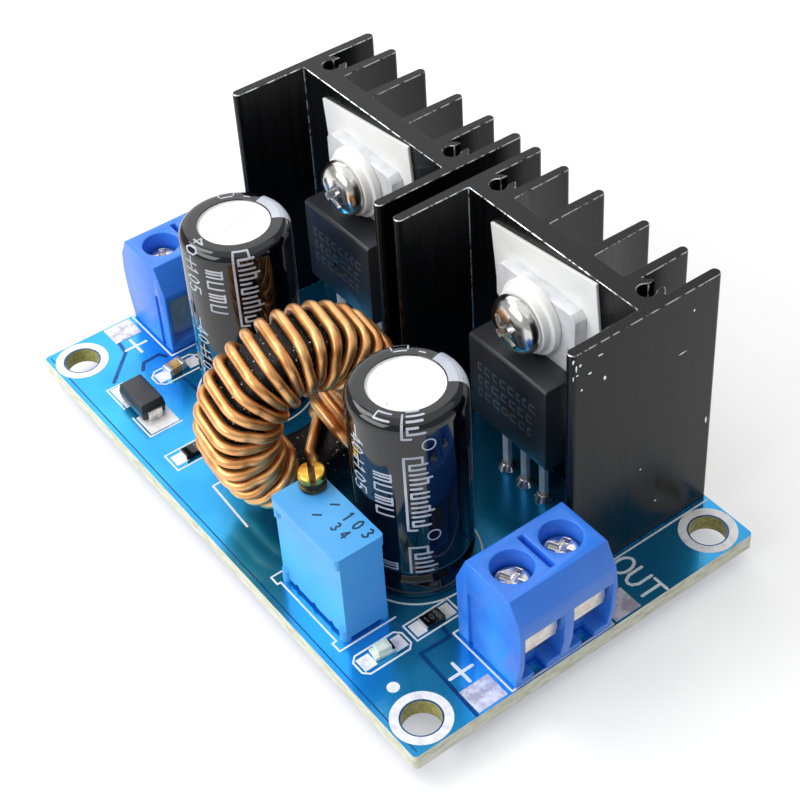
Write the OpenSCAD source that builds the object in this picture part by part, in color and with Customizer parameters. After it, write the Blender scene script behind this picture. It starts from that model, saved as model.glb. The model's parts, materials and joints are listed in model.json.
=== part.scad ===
// Adjustable buck converter module: a circuit board that carries two finned
// heatsinks, a wound ring coil, two capacitors, a trimmer and two terminals.
// X runs from the IN end to the OUT end, +Y is the heatsink side, Z is up.

/* [Board] */
// length of the circuit board along X
board_length = 61; // [56:0.5:70]
// width of the circuit board along Y
board_width = 37; // [35:0.5:44]
// thickness of the circuit board
board_thick = 1.6; // [1:0.1:2.4]
// distance from each board edge to its mounting holes
mount_inset = 2.75; // [2.6:0.05:3.4]
// diameter of the mounting holes
mount_hole_d = 3.4; // [2.6:0.1:3.6]
// length of the cut leads below the board
lead_stub = 1.6; // [1:0.1:2.5]
// height of the solder cones
solder_height = 0.9; // [0.5:0.1:1.2]

/* [Heatsinks] */
// width of one heatsink along X
sink_width = 23.3; // [21:0.1:24]
// depth of one heatsink along Y
sink_depth = 16; // [15:0.5:17.5]
// height of one heatsink
sink_height = 25.8; // [22:0.2:35]
// thickness of the outer walls
sink_wall = 1; // [0.8:0.1:1.4]
// depth of the channel in front of the base plate
sink_channel = 7.6; // [7:0.1:8.2]
// thickness of the base plate
sink_plate = 2; // [1.6:0.1:2.6]
// thickness of a fin at its root
fin_thick = 1.1; // [0.8:0.1:1.4]
// distance of the two middle fins from the centre
fin_inner_x = 2.8; // [2.5:0.1:3.2]
// distance of the two outer fins from the centre
fin_outer_x = 7.4; // [6.8:0.1:7.6]
// gap between the two heatsinks
sink_gap = 1.8; // [1:0.1:3]
// how far the pair of heatsinks stands towards the OUT end
sink_shift = 0.5; // [0:0.1:0.6]
// diameter of the solder pins in the heatsinks
sink_pin_d = 1.6; // [1.2:0.1:1.8]

/* [Power devices] */
// width of a device body
device_width = 10.2; // [9.8:0.1:10.6]
// height of a device body
device_height = 9.2; // [8.6:0.1:9.6]
// depth of a device body, with its tab
device_depth = 4.5; // [4.2:0.1:4.8]
// height of the bodies above the board
device_lift = 6.5; // [4.5:0.1:7]
// thickness of the metal tab
tab_thick = 1.3; // [1:0.05:1.5]
// height of the tab above the body
tab_height = 6.4; // [5.8:0.1:6.6]
// distance from the top of the tab to its hole
tab_hole_drop = 2.8; // [2.6:0.1:3]
// thickness of the leads
device_lead_t = 0.5; // [0.4:0.05:0.6]
// distance between the diode leads
diode_pitch = 2.54; // [2.4:0.02:2.7]
// distance between the regulator leads
regulator_pitch = 1.7; // [1.6:0.02:1.8]
// thickness of the insulating pads
pad_thick = 0.3; // [0.2:0.05:0.5]
// angle by which the insulating pad sits askew
pad_angle = 6.5; // [0:0.5:8]

/* [Fixing screws] */
// thread diameter of the fixing screws
screw_d = 3; // [2.5:0.1:3]
// length of the fixing screws under the head
screw_length = 7; // [6:0.5:10]
// height of the screw heads
screw_head_h = 1.9; // [1.4:0.1:2.2]
// thickness of the insulating bush between tab and screw head
bush_flange = 1.5; // [1:0.1:1.8]

/* [Capacitors] */
// diameter of the capacitor cans
cap_d = 10; // [8:0.1:10.4]
// height of the capacitors above the board
cap_height = 20.3; // [14:0.1:25]
// distance between the capacitor leads
cap_pitch = 5; // [3.5:0.1:5]
// thickness of the shrunk sleeve
sleeve_t = 0.1; // [0.08:0.01:0.2]
// distance from the IN end of the board to the input capacitor
cap_in_end = 17.3; // [17:0.1:17.7]
// gap between the input capacitor and the heatsinks
cap_in_gap = 2; // [1.4:0.1:2.4]
// distance from the OUT end of the board to the output capacitor
cap_out_end = 16.8; // [16.4:0.1:17]
// gap between the output capacitor and the trimmer
cap_out_gap = 0.8; // [0.6:0.1:1.4]

/* [Coil] */
// outer diameter of the coil core
core_od = 17; // [15:0.2:17.4]
// hole diameter of the coil core
core_id = 9.8; // [9.6:0.1:10]
// height of the coil core ring
core_height = 5.5; // [4.5:0.1:6.5]
// diameter of the enamelled wire
wire_d = 1; // [0.7:0.05:1]
// number of turns
coil_turns = 29; // [20:1:29]
// angle at the foot of the coil that has no turns
coil_gap_angle = 52; // [48:1:70]
// height of the core above the board
coil_lift = 1.2; // [0.8:0.1:2]
// turn of the coil about the vertical
coil_yaw = -5.4; // [-8:0.2:8]
// place of the coil along X
coil_x = 0.7; // [0:0.1:0.9]
// gap between the coil and the heatsinks
coil_gap = 0.33; // [0.3:0.05:0.6]

/* [Trimmer] */
// length of the trimmer
trimmer_length = 9.5; // [9.2:0.1:9.8]
// width of the trimmer
trimmer_width = 4.8; // [4.4:0.1:4.9]
// height of the trimmer
trimmer_height = 10; // [9:0.1:11]
// diameter of the trimmer screw head
trimmer_head_d = 2.4; // [2:0.1:2.4]
// height of the trimmer screw head
trimmer_head_h = 1.7; // [1.2:0.1:2.2]
// diameter of the trimmer screw shaft
trimmer_shaft_d = 1.8; // [1.4:0.1:1.9]
// distance from the OUT end of the board to the far end of the trimmer
trimmer_end = 22.2; // [21.9:0.1:22.4]
// distance from the edge of the board to the trimmer
trimmer_edge = 2.3; // [2.1:0.1:2.4]

/* [Terminals] */
// width of a terminal along Y
terminal_width = 10.2; // [10.1:0.1:10.6]
// height of a terminal
terminal_height = 10; // [9.8:0.1:11]
// distance between the two poles
pole_pitch = 5.08; // [5.08:0.02:5.2]
// width of a wire entry
entry_width = 4.1; // [3.9:0.05:4.2]
// height of the top edge of a wire entry
entry_top = 6.3; // [6.1:0.1:6.4]
// gap between the terminals and the heatsinks
terminal_gap = 0.45; // [0.3:0.05:0.7]
// distance from the board end to the back of a terminal
terminal_back = 7.7; // [7.5:0.1:7.9]
// diameter of the terminal screw heads
clamp_head_d = 3.3; // [3.1:0.1:3.9]
// thread diameter of the terminal screws
clamp_screw_d = 2.6; // [2.3:0.1:2.7]
// height of the clamp foot above the board as it is set
clamp_set = 3.4; // [3.2:0.05:3.5]

/* [Small parts] */
// length of the surface mounted diode body
smd_diode_length = 4.4; // [4:0.1:4.8]
// length of a chip resistor
chip_length = 2; // [1.8:0.1:2.2]
// width of a chip resistor or lamp
chip_width = 1.25; // [1:0.05:1.4]

/* [Hidden] */

$fn = 48;
cut = 0.5;              // how far a cutting shape runs past a face
slide_gap = 0.05;       // radial clearance of a turning shaft or screw
fit_gap = 0.02;         // clearance of a seated piece
play = 0.15;            // clearance beside a sliding or turning piece

// board
half_l = board_length / 2;
half_w = board_width / 2;
mount_x = half_l - mount_inset;
mount_y = half_w - mount_inset;
top = board_thick;
hole_gap = 0.15;        // radial clearance of a lead in its hole
fillet_height = 0.7;    // rise of the solder round a lead above the board

// heatsinks, measured from the front of the side walls
sink_y = half_w - sink_depth;
sink_top = top + sink_height;
sink_in_x = sink_shift - (sink_gap + sink_width) / 2;
sink_out_x = sink_shift + (sink_gap + sink_width) / 2;
plate_front = sink_y + sink_channel;
plate_back = plate_front + sink_plate;
fin_tip = fin_thick - 0.2;
pin_boss_wall = 0.7;
pin_boss_r = sink_pin_d / 2 + fit_gap + pin_boss_wall;
pin_x = (sink_width / 2 - sink_wall + fin_outer_x + fin_thick / 2) / 2;
pin_y = plate_back + 0.2;
pin_length = 8;         // part of a heatsink pin inside the heatsink

// power devices: the stack runs forward from the base plate
tab_back = plate_front - pad_thick;
tab_front = tab_back - tab_thick;
body_front = tab_back - device_depth;
body_low = top + device_lift;
body_top = body_low + device_height;
tab_top = body_top + tab_height;
tab_hole_z = tab_top - tab_hole_drop;
tab_hole_d = 3.8;
tab_notch = 0.9;        // step cut in the sides of the tab
tab_notch_low = 1.2;    // where that step begins and ends above the body
tab_notch_high = 2.6;
tab_corner = 0.6;
lead_y = tab_back - 2.5;
lead_w = 0.8;
lead_round = norm([lead_w, device_lead_t]);
shoulder_w = 1.3;
shoulder_h = 2.6;
regulator_row_step = 2.6;
bush_d = min(7.4, 2 * (tab_height - tab_hole_drop) - 0.2);
bush_hub_d = bush_d - 1;    // the hub on the flange, under the screw head
bush_shoulder = tab_thick - 0.1;
screw_head_d = 5.5;
screw_under_head_y = tab_front - bush_flange - fit_gap;
pad_w = 13.5;
pad_h = 18.5;
pad_lift = 0.9;         // distance from the top of the pad to the heatsink top

// capacitors
cap_r = cap_d / 2;
sleeve_r = cap_r + sleeve_t;
cap_in_x = -(half_l - cap_in_end);
cap_in_y = sink_y - cap_in_gap - sleeve_r;
cap_out_x = half_l - cap_out_end;
cap_out_y = -half_w + trimmer_edge + trimmer_width + cap_out_gap + sleeve_r;
cap_crown_r = 0.9;
cap_bead_z = 2.6;
cap_bead = 0.45;
cap_disc_r = cap_r - 1.65;
cap_foot = 0.3;         // the can's lower edge stands this far above the board
bung_r = cap_r - 0.9;
bung_h = 1.9;
cap_lead_d = 0.6;

// coil, built lying down with its foot towards +X and stood up afterwards
core_edge_r = 1;
lay_gap = 0.02;
bend_ease = 0.4;        // how much rounder the wire bends than the core's edge
wire_r = wire_d / 2;
wire_off = wire_r + lay_gap + 0.3 * bend_ease;
coil_z = top + coil_lift + core_od / 2;
wind_out = core_od / 2 + wire_off;
wind_face = core_height / 2 + wire_off;
wind_in = core_id / 2 - wire_off;
bend_r = core_edge_r + wire_r + lay_gap + bend_ease;
turn_angle = (360 - coil_gap_angle) / coil_turns;
turn_reach = 2 * sin(turn_angle / 2) * (wind_in - 0.36 * wire_d);
layer_step = sqrt(max(0.01, pow(1.02 * wire_d, 2) - pow(turn_reach, 2)));
layer_rise = 0.55 * layer_step;
lead_angle = -12;       // where the first wire comes up the front of the foot
coil_y = sink_y - coil_gap - (wind_out + wire_r) * cos(coil_yaw)
    - (wind_face + wire_r) * abs(sin(coil_yaw));
bend_steps = 3;
wire_sides = 6;
coil_lead_x = coil_z + lead_stub;

// trimmer
trimmer_x = half_l - trimmer_end;
trimmer_y = -half_w + trimmer_edge;
trimmer_top = top + trimmer_height;
trimmer_cap_h = 1.1;
trimmer_inset = 0.3;
trimmer_foot_h = 0.4;
trimmer_screw_x = trimmer_x + 1.27;
trimmer_screw_y = trimmer_y + trimmer_width - 1.3;
trimmer_shaft_l = 6;
trimmer_mid_x = trimmer_x + trimmer_length / 2;
trimmer_pin_y = trimmer_y + trimmer_width / 2;
trimmer_pin_pitch = 2.54;
trimmer_pin_d = 0.5;

// terminals, in local sizes: u forward from the back, v across, w up
terminal_y = sink_y - terminal_gap - terminal_width / 2;
terminal_reach = 8.3;
pole_u = 4.15;
contact_back = 1.2;
well_d = clamp_head_d + 2 * play;
contact_t = 0.8;
nut_low = clamp_set + 0.4 + 0.7;
leaf_t = 0.35;
leaf_w = entry_width - 2 * play;
leaf_travel_up = 0.5;
leaf_travel_down = 1.1;
leaf_top_w = nut_low + contact_t + leaf_travel_down + 0.1;
head_low = leaf_top_w + leaf_t + play;
clamp_head_h = 1.4;
flap_low = clamp_set + 0.5;
leaf_back = contact_back + contact_t + play;
leaf_strip = 0.6;
leaf_front = 7.5;
terminal_pin_d = 1;
floor_t = 0.9;
terminal_toe = 2.8;     // height of the lower edge of the leaning front
terminal_toe_in = 0.8;  // how far that front leans back at the board

// small parts
diode_x = -(half_l - 12.4);
diode_y = -half_w + 4.15;
diode_w = 2.6;
diode_h = 2.1;
diode_foot = 0.1;
chip_cap_x = -(half_l - 9.95);
chip_cap_y = -half_w + 9.15;
chip_cap_turn = 8;
lamp_x = half_l - 10.05;
lamp_y = -half_w + 4.3;
lamp_turn = -6;
resistor_in_x = diode_x + 8.4;
resistor_in_y = -half_w + 4.45;
resistor_out_x = half_l - terminal_back - chip_width / 2 - 1.75;
resistor_out_y = -half_w + 9.45;

// ---------- shared shapes ----------

function arc_points(cx, cy, r, a0, a1, n) =
    [for (i = [0:n]) [cx + r * cos(a0 + (a1 - a0) * i / n), cy + r * sin(a0 + (a1 - a0) * i / n)]];

module box(low, high) {
    translate(low) cube(high - low);
}

// a flat plate with rounded vertical edges
module rounded_plate(length, width, height, r) {
    linear_extrude(height) rounded_rect(length, width, r);
}

module rounded_rect(length, width, r) {
    union() {
        square([length - 2 * r, width], center = true);
        square([length, width - 2 * r], center = true);
        for (sx = [-1, 1], sy = [-1, 1])
            translate([sx * (length / 2 - r), sy * (width / 2 - r)]) circle(r);
    }
}

// an outline drawn in X and Z and given a width along Y
module along_y(y0, y1) {
    translate([0, y1, 0]) rotate([90, 0, 0]) linear_extrude(y1 - y0) children();
}

// ---------- where the leads go through the board ----------

function cap_leads(x, y) = [[x, y - cap_pitch / 2, cap_lead_d], [x, y + cap_pitch / 2, cap_lead_d]];
function sink_pins(x) = [[x - pin_x, pin_y, sink_pin_d], [x + pin_x, pin_y, sink_pin_d]];
function diode_leads() = [for (i = [-1:1]) [sink_out_x + i * diode_pitch, lead_y, lead_round]];
function regulator_lead_y(i) = i % 2 == 0 ? lead_y : lead_y - regulator_row_step;
function regulator_leads() = [for (i = [-2:2])
    [sink_in_x + i * regulator_pitch, regulator_lead_y(i), lead_round]];
function trimmer_leads() = [for (i = [-1:1])
    [trimmer_mid_x + i * trimmer_pin_pitch, trimmer_pin_y, trimmer_pin_d]];
function terminal_leads(side) = [for (s = [-1, 1])
    [side * (half_l - terminal_back + pole_u), terminal_y + s * pole_pitch / 2, terminal_pin_d]];
function turned(x, y) =
    [coil_x + x * cos(coil_yaw) - y * sin(coil_yaw), coil_y + x * sin(coil_yaw) + y * cos(coil_yaw)];
// the first wire leaves on the front face, the last one on the back face
first_lead_y = wind_out * sin(lead_angle);
last_lead_y = -wind_out * sin(coil_gap_angle / 2);
function coil_leads() = [for (q = [[wind_face, first_lead_y], [-wind_face, last_lead_y]])
    let (p = turned(q[0], q[1])) [p[0], p[1], wire_d]];

through_leads = concat(
    cap_leads(cap_in_x, cap_in_y), cap_leads(cap_out_x, cap_out_y),
    sink_pins(sink_in_x), sink_pins(sink_out_x),
    diode_leads(), regulator_leads(), trimmer_leads(),
    terminal_leads(-1), terminal_leads(1), coil_leads());

// ---------- board ----------

module board() {
    color([0.1, 0.45, 0.75]) difference() {
        rounded_plate(board_length, board_width, board_thick, 0.4);
        for (sx = [-1, 1], sy = [-1, 1])
            translate([sx * mount_x, sy * mount_y, -cut])
                cylinder(h = board_thick + 2 * cut, d = mount_hole_d);
        for (p = through_leads)
            translate([p[0], p[1], -cut]) cylinder(h = board_thick + 2 * cut, d = p[2] + 2 * hole_gap);
    }
}

// one soldered lead: the plug in the hole and the cone under the board
module solder_joint(d) {
    difference() {
        union() {
            translate([0, 0, -solder_height])
                cylinder(h = solder_height, r1 = d / 2 + 0.15, r2 = d / 2 + 0.65);
            cylinder(h = board_thick * 0.6, r = d / 2 + hole_gap - fit_gap / 2);
        }
        translate([0, 0, -solder_height - cut])
            cylinder(h = board_thick + solder_height + 2 * cut, r = d / 2 + fit_gap / 2);
    }
}

module solder_joints() {
    color([0.78, 0.79, 0.8]) for (p = through_leads) translate([p[0], p[1], 0]) solder_joint(p[2]);
}

// the rings of solder that climb the diode and regulator leads above the board
module lead_fillets() {
    color([0.78, 0.79, 0.8]) for (p = concat(diode_leads(), regulator_leads()))
        translate([p[0], p[1], top]) difference() {
            cylinder(h = fillet_height, r1 = lead_round / 2 + 0.45, r2 = lead_round / 2 + 0.1);
            translate([0, 0, -cut]) cylinder(h = fillet_height + 2 * cut, d = lead_round + fit_gap);
        }
}

// ---------- heatsinks ----------

// half of a fin's outline, from its root at the base plate to its round tip
module fin_outline(x) {
    y0 = sink_channel + sink_plate - 0.1;
    polygon(concat(
        [[x + fin_thick / 2, y0]],
        arc_points(x, sink_depth - fin_tip / 2, fin_tip / 2, 0, 180, 12),
        [[x - fin_thick / 2, y0]]));
}

module wall_outline(side) {
    x = side * (sink_width - sink_wall) / 2;
    r = sink_wall / 2;
    union() {
        translate([x - r, r]) square([sink_wall, sink_depth - 2 * r]);
        translate([x, r]) circle(r);
        translate([x, sink_depth - r]) circle(r);
    }
}

// the drawn section: base plate, side walls, fins and the two pin channels
module sink_section() {
    difference() {
        union() {
            translate([-sink_width / 2 + sink_wall / 2, sink_channel])
                square([sink_width - sink_wall, sink_plate]);
            for (side = [-1, 1]) {
                wall_outline(side);
                translate([side * pin_x, pin_y - sink_y]) circle(pin_boss_r);
                fin_outline(side * fin_inner_x);
                fin_outline(side * fin_outer_x);
            }
        }
        for (side = [-1, 1]) {
            translate([side * pin_x, pin_y - sink_y]) circle(sink_pin_d / 2 + fit_gap);
            translate([side * pin_x - sink_pin_d * 0.3, pin_y - sink_y])
                square([sink_pin_d * 0.6, pin_boss_r + cut]);
        }
    }
}

module heatsink(x) {
    color([0.09, 0.09, 0.1]) difference() {
        translate([x, sink_y, top]) linear_extrude(sink_height) sink_section();
        translate([x, plate_front - cut, tab_hole_z]) rotate([-90, 0, 0])
            cylinder(h = sink_plate + 2 * cut, d = screw_d + 2 * fit_gap);
    }
}

module heatsink_pins(x) {
    color([0.75, 0.76, 0.78]) for (p = sink_pins(x))
        translate([p[0], p[1], -lead_stub])
            cylinder(h = lead_stub + board_thick + pin_length, d = sink_pin_d);
}

module heatsink_in() heatsink(sink_in_x);
module heatsink_out() heatsink(sink_out_x);
module heatsink_pins_in() heatsink_pins(sink_in_x);
module heatsink_pins_out() heatsink_pins(sink_out_x);

// ---------- power devices and what clamps them ----------

// the insulating pad behind a tab, a little askew about its screw
module insulating_pad(x) {
    drop = sink_top - pad_lift - tab_hole_z;
    color([0.93, 0.93, 0.91]) difference() {
        translate([x, plate_front, tab_hole_z]) rotate([0, -pad_angle, 0])
            box([-pad_w / 2, -pad_thick, drop - pad_h], [pad_w / 2, 0, drop]);
        translate([x, plate_front + cut, tab_hole_z]) rotate([90, 0, 0]) cylinder(h = 2, d = tab_hole_d);
    }
}

module insulating_bush(x) {
    color([0.95, 0.95, 0.93]) translate([x, tab_front, tab_hole_z]) rotate([90, 0, 0]) difference() {
        union() {
            cylinder(h = bush_flange / 2, d = bush_d);
            cylinder(h = bush_flange, d = bush_hub_d);
            translate([0, 0, -bush_shoulder]) cylinder(h = bush_shoulder + 0.1, d = tab_hole_d - 2 * fit_gap);
        }
        translate([0, 0, -bush_shoulder - cut])
            cylinder(h = bush_shoulder + bush_flange + 2 * cut, d = screw_d + 2 * fit_gap);
    }
}

// pan head with a cross recess, and a plain shank
module fixing_screw(x) {
    r = screw_head_d / 2;
    rim = 0.5;
    dome = screw_head_h - rim;
    color([0.8, 0.8, 0.82]) translate([x, screw_under_head_y, tab_hole_z]) rotate([90, 0, 0]) difference() {
        union() {
            rotate_extrude() polygon(concat(
                [[0, 0], [r - 0.15, 0], [r, 0.15]],
                [for (i = [0:6]) [r * cos(i * 13), rim + dome * sin(i * 13)]],
                [[0, screw_head_h]]));
            translate([0, 0, -screw_length]) cylinder(h = screw_length + 0.1, d = screw_d);
        }
        for (a = [45, 135]) rotate([0, 0, a])
            translate([-1.5, -0.35, screw_head_h * 0.35]) cube([3, 0.7, screw_head_h]);
    }
}

// the moulded body: square shoulders, drafted lower half
module device_body(x) {
    step = 0.25;
    color([0.1, 0.1, 0.12]) difference() {
        translate([x - device_width / 2, 0, 0]) rotate([90, 0, 90]) linear_extrude(device_width) polygon([
            [tab_back - 0.02, body_low + step], [tab_back - 0.02, body_top - tab_thick],
            [tab_front, body_top - tab_thick], [tab_front, body_top],
            [body_front + step, body_top], [body_front, body_top - step],
            [body_front, body_low + step], [body_front + step, body_low], [tab_back - step, body_low]]);
        // the slot in which the tab and the leads are held
        box([x - device_width / 2 + 1, tab_front, body_low + 1],
            [x + device_width / 2 - 1, tab_back + cut, body_top + cut]);
        // shallow dimple that the moulding pin leaves
        translate([x, body_front + 0.15, body_low + device_height * 0.42]) rotate([90, 0, 0])
            cylinder(h = 1, d = 1.6);
    }
}

// a lead with its wide shoulder, straight down to the stub under the board
module straight_lead(x, y) {
    y0 = y - device_lead_t / 2;
    y1 = y + device_lead_t / 2;
    translate([0, y1, 0]) rotate([90, 0, 0]) linear_extrude(y1 - y0) polygon([
        [x - shoulder_w / 2, body_low], [x + shoulder_w / 2, body_low],
        [x + shoulder_w / 2, body_low - shoulder_h + 0.4], [x + lead_w / 2, body_low - shoulder_h],
        [x + lead_w / 2, -lead_stub], [x - lead_w / 2, -lead_stub],
        [x - lead_w / 2, body_low - shoulder_h], [x - shoulder_w / 2, body_low - shoulder_h + 0.4]]);
}

// a lead that steps forward to the front row of holes
module stepped_lead(x) {
    half = device_lead_t / 2;
    z0 = body_low - 1.4;
    z1 = z0 - regulator_row_step;
    translate([x - lead_w / 2, 0, 0]) rotate([90, 0, 90]) linear_extrude(lead_w) polygon([
        [lead_y - half, body_low], [lead_y + half, body_low], [lead_y + half, z0 - 0.1],
        [lead_y - regulator_row_step + half, z1 - 0.1], [lead_y - regulator_row_step + half, -lead_stub],
        [lead_y - regulator_row_step - half, -lead_stub], [lead_y - regulator_row_step - half, z1 + 0.1],
        [lead_y - half, z0 + 0.1]]);
}

// the metal tab with its stepped sides, clamped behind the body
module device_tab(x) {
    half = device_width / 2;
    neck = half - 1 - fit_gap;
    low = body_low + 1 + fit_gap;
    z0 = body_top + tab_notch_low;
    z1 = body_top + tab_notch_high;
    difference() {
        along_y(tab_front + fit_gap, tab_back) translate([x, 0]) polygon([
            [-neck, low], [neck, low], [neck, z0], [half - tab_notch, z0],
            [half - tab_notch, z1], [half, z1], [half, tab_top - tab_corner], [half - tab_corner, tab_top],
            [-half + tab_corner, tab_top], [-half, tab_top - tab_corner], [-half, z1],
            [-half + tab_notch, z1], [-half + tab_notch, z0], [-neck, z0]]);
        translate([x, tab_back + cut, tab_hole_z]) rotate([90, 0, 0])
            cylinder(h = tab_thick + 2 * cut, d = tab_hole_d);
    }
}

module regulator_body() device_body(sink_in_x);
module diode_body() device_body(sink_out_x);

module regulator_leadframe() {
    color([0.8, 0.8, 0.8]) {
        device_tab(sink_in_x);
        for (i = [-2, 0, 2]) regulator_lead(i);
        for (i = [-1, 1]) stepped_lead(sink_in_x + i * regulator_pitch);
    }
}

// the regulator's leads stand too close for shoulders
module regulator_lead(i) {
    x = sink_in_x + i * regulator_pitch;
    box([x - lead_w / 2, lead_y - device_lead_t / 2, -lead_stub],
        [x + lead_w / 2, lead_y + device_lead_t / 2, body_low]);
}

module diode_leadframe() {
    color([0.8, 0.8, 0.8]) {
        device_tab(sink_out_x);
        for (i = [-1:1]) straight_lead(sink_out_x + i * diode_pitch, lead_y);
    }
}

module insulating_pad_in() insulating_pad(sink_in_x);
module insulating_pad_out() insulating_pad(sink_out_x);
module insulating_bush_in() insulating_bush(sink_in_x);
module insulating_bush_out() insulating_bush(sink_out_x);
module fixing_screw_in() fixing_screw(sink_in_x);
module fixing_screw_out() fixing_screw(sink_out_x);

// ---------- capacitors ----------

// the drawn can: rounded crown, rolled bead that grips the bung, open foot
module capacitor_can(x, y) {
    high = cap_height - sleeve_t;
    wall = 0.3;
    color([0.82, 0.83, 0.84]) translate([x, y, top]) difference() {
        rotate_extrude() polygon(concat(
            [[0, cap_foot], [cap_r, cap_foot]],
            [[cap_r, cap_bead_z - cap_bead], [cap_r - cap_bead, cap_bead_z], [cap_r, cap_bead_z + cap_bead]],
            arc_points(cap_r - cap_crown_r, high - cap_crown_r, cap_crown_r, 0, 90, 6),
            [[cap_disc_r, high], [cap_disc_r - 0.1, high - 0.15], [0, high - 0.15]]));
        translate([0, 0, -cut]) cylinder(h = bung_h + cap_foot + cut, r = bung_r + fit_gap);
        // the scored cross that vents
        for (a = [20, 110]) rotate([0, 0, a])
            translate([-cap_disc_r * 0.8, -0.12, high - 0.25]) cube([cap_disc_r * 1.6, 0.24, 1]);
    }
}

// the shrunk sleeve follows the can and curls over its crown and foot
module capacitor_sleeve(x, y) {
    high = cap_height - sleeve_t;
    g = 0.01;
    color([0.06, 0.07, 0.14]) translate([x, y, top]) rotate_extrude() polygon(concat(
        [[cap_r - 0.6, 0.1], [sleeve_r, 0.1]],
        [[sleeve_r, cap_bead_z - cap_bead], [sleeve_r - cap_bead, cap_bead_z],
         [sleeve_r, cap_bead_z + cap_bead]],
        arc_points(cap_r - cap_crown_r, high - cap_crown_r, cap_crown_r + sleeve_t, 0, 90, 6),
        [[cap_disc_r, cap_height], [cap_disc_r, high + g]],
        arc_points(cap_r - cap_crown_r, high - cap_crown_r, cap_crown_r + g, 90, 0, 6),
        [[cap_r + g, cap_bead_z + cap_bead], [cap_r + g - cap_bead, cap_bead_z],
         [cap_r + g, cap_bead_z - cap_bead]],
        [[cap_r + g, cap_foot - g], [cap_r - 0.6, cap_foot - g]]));
}

module capacitor_bung(x, y) {
    color([0.15, 0.14, 0.13]) translate([x, y, top]) difference() {
        translate([0, 0, cap_foot]) cylinder(h = bung_h, r = bung_r);
        for (s = [-1, 1]) translate([0, s * cap_pitch / 2, 0])
            cylinder(h = 3 * bung_h, d = cap_lead_d + 2 * fit_gap);
    }
}

module capacitor_leads(x, y) {
    color([0.78, 0.79, 0.8]) for (p = cap_leads(x, y))
        translate([p[0], p[1], -lead_stub]) cylinder(h = lead_stub + top + cap_foot + bung_h, d = cap_lead_d);
}

module capacitor_can_in() capacitor_can(cap_in_x, cap_in_y);
module capacitor_sleeve_in() capacitor_sleeve(cap_in_x, cap_in_y);
module capacitor_bung_in() capacitor_bung(cap_in_x, cap_in_y);
module capacitor_leads_in() capacitor_leads(cap_in_x, cap_in_y);
module capacitor_can_out() capacitor_can(cap_out_x, cap_out_y);
module capacitor_sleeve_out() capacitor_sleeve(cap_out_x, cap_out_y);
module capacitor_bung_out() capacitor_bung(cap_out_x, cap_out_y);
module capacitor_leads_out() capacitor_leads(cap_out_x, cap_out_y);

// ---------- coil ----------

module stand_up() {
    translate([coil_x, coil_y, coil_z]) rotate([0, 0, coil_yaw]) rotate([0, 90, 0]) children();
}

// the coated ring, with its edges rounded
module coil_core() {
    w = (core_od - core_id) / 2;
    color([0.07, 0.07, 0.07]) stand_up() rotate_extrude()
        translate([(core_od + core_id) / 4, 0]) rounded_rect(w, core_height, core_edge_r);
}

// a quarter bend of the wire, grown outwards by a share of the layer step each way
function wire_bend(cx, cz, a0, grow_r, grow_z) = [for (k = [0:bend_steps]) let (a = a0 + 90 * k / bend_steps)
    [cx + (bend_r + grow_r) * cos(a), cz + (bend_r + grow_z) * sin(a)]];

// the path round the ring's section, as distance from the axis and height along it,
// starting where the wire comes up the front face; level 1 is the upper layer in the hole
function lap(level) = let (z = wind_face - bend_r) concat(
    wire_bend(wind_in + bend_r, z, 90, level * layer_step, level * layer_rise),
    wire_bend(wind_in + bend_r, -z, 180, level * layer_step, level * layer_rise),
    wire_bend(wind_out - bend_r, -z, 270, 0, 0),
    wire_bend(wind_out - bend_r, z, 0, 0, 0));

lap_points = 4 * (bend_steps + 1);
laps = [lap(0), lap(1)];
function run_to(q, i) = i == 0 ? 0 : run_to(q, i - 1) + norm(q[i] - q[i - 1]);
lap_runs = [for (q = laps) let (all = run_to(q, lap_points - 1) + norm(q[0] - q[lap_points - 1]))
    [for (i = [0:lap_points - 1]) run_to(q, i) / all]];

// the first wire crosses the hole from the foot's middle to where the turns begin
function wound_angle(t, i) = t == 0 && i <= bend_steps ? lead_angle + 2 * i
    : coil_gap_angle / 2 + turn_angle * (t + lap_runs[t % 2][i]);
function wound_point(t, i) =
    let (q = laps[t % 2][i], a = wound_angle(t, i)) [q[0] * cos(a), q[0] * sin(a), q[1]];

// the last turn stops on the back face, from where the wire runs down to the board
last_points = 2 * (bend_steps + 1);
wind_path = concat(
    [[coil_lead_x, first_lead_y, wind_face], [wind_out + 0.6, first_lead_y, wind_face]],
    [for (t = [0:coil_turns - 1], i = [0:(t == coil_turns - 1 ? last_points : lap_points) - 1])
        wound_point(t, i)],
    [[wind_out + 0.6, last_lead_y, -wind_face], [coil_lead_x, last_lead_y, -wind_face]]);

function unit(v) = v / norm(v);
function along(path, i) = unit(path[min(i + 1, len(path) - 1)] - path[max(i - 1, 0)]);
function around(path, i) = let (p = path[i]) i < 2 || i > len(path) - 3 ? [0, 1, 0] : unit([-p[1], p[0], 0]);
function wire_ring(path, i, r, n) =
    let (t = along(path, i), m = unit(cross(t, around(path, i))), b = cross(m, t))
    [for (k = [0:n - 1]) path[i] + r * (cos(360 * k / n) * m + sin(360 * k / n) * b)];

module swept_wire(path, r, n) {
    last = len(path) - 1;
    polyhedron(
        points = [for (i = [0:last]) each wire_ring(path, i, r, n)],
        faces = concat(
            [[for (k = [0:n - 1]) k]],
            [for (i = [0:last - 1], k = [0:n - 1])
                let (a = i * n + k, b = i * n + (k + 1) % n) each [[a, a + n, b], [b, a + n, b + n]]],
            [[for (k = [n - 1:-1:0]) last * n + k]]));
}

module coil_winding() {
    color([0.72, 0.4, 0.16]) stand_up() swept_wire(wind_path, wire_r, wire_sides);
}

// ---------- trimmer ----------

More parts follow.
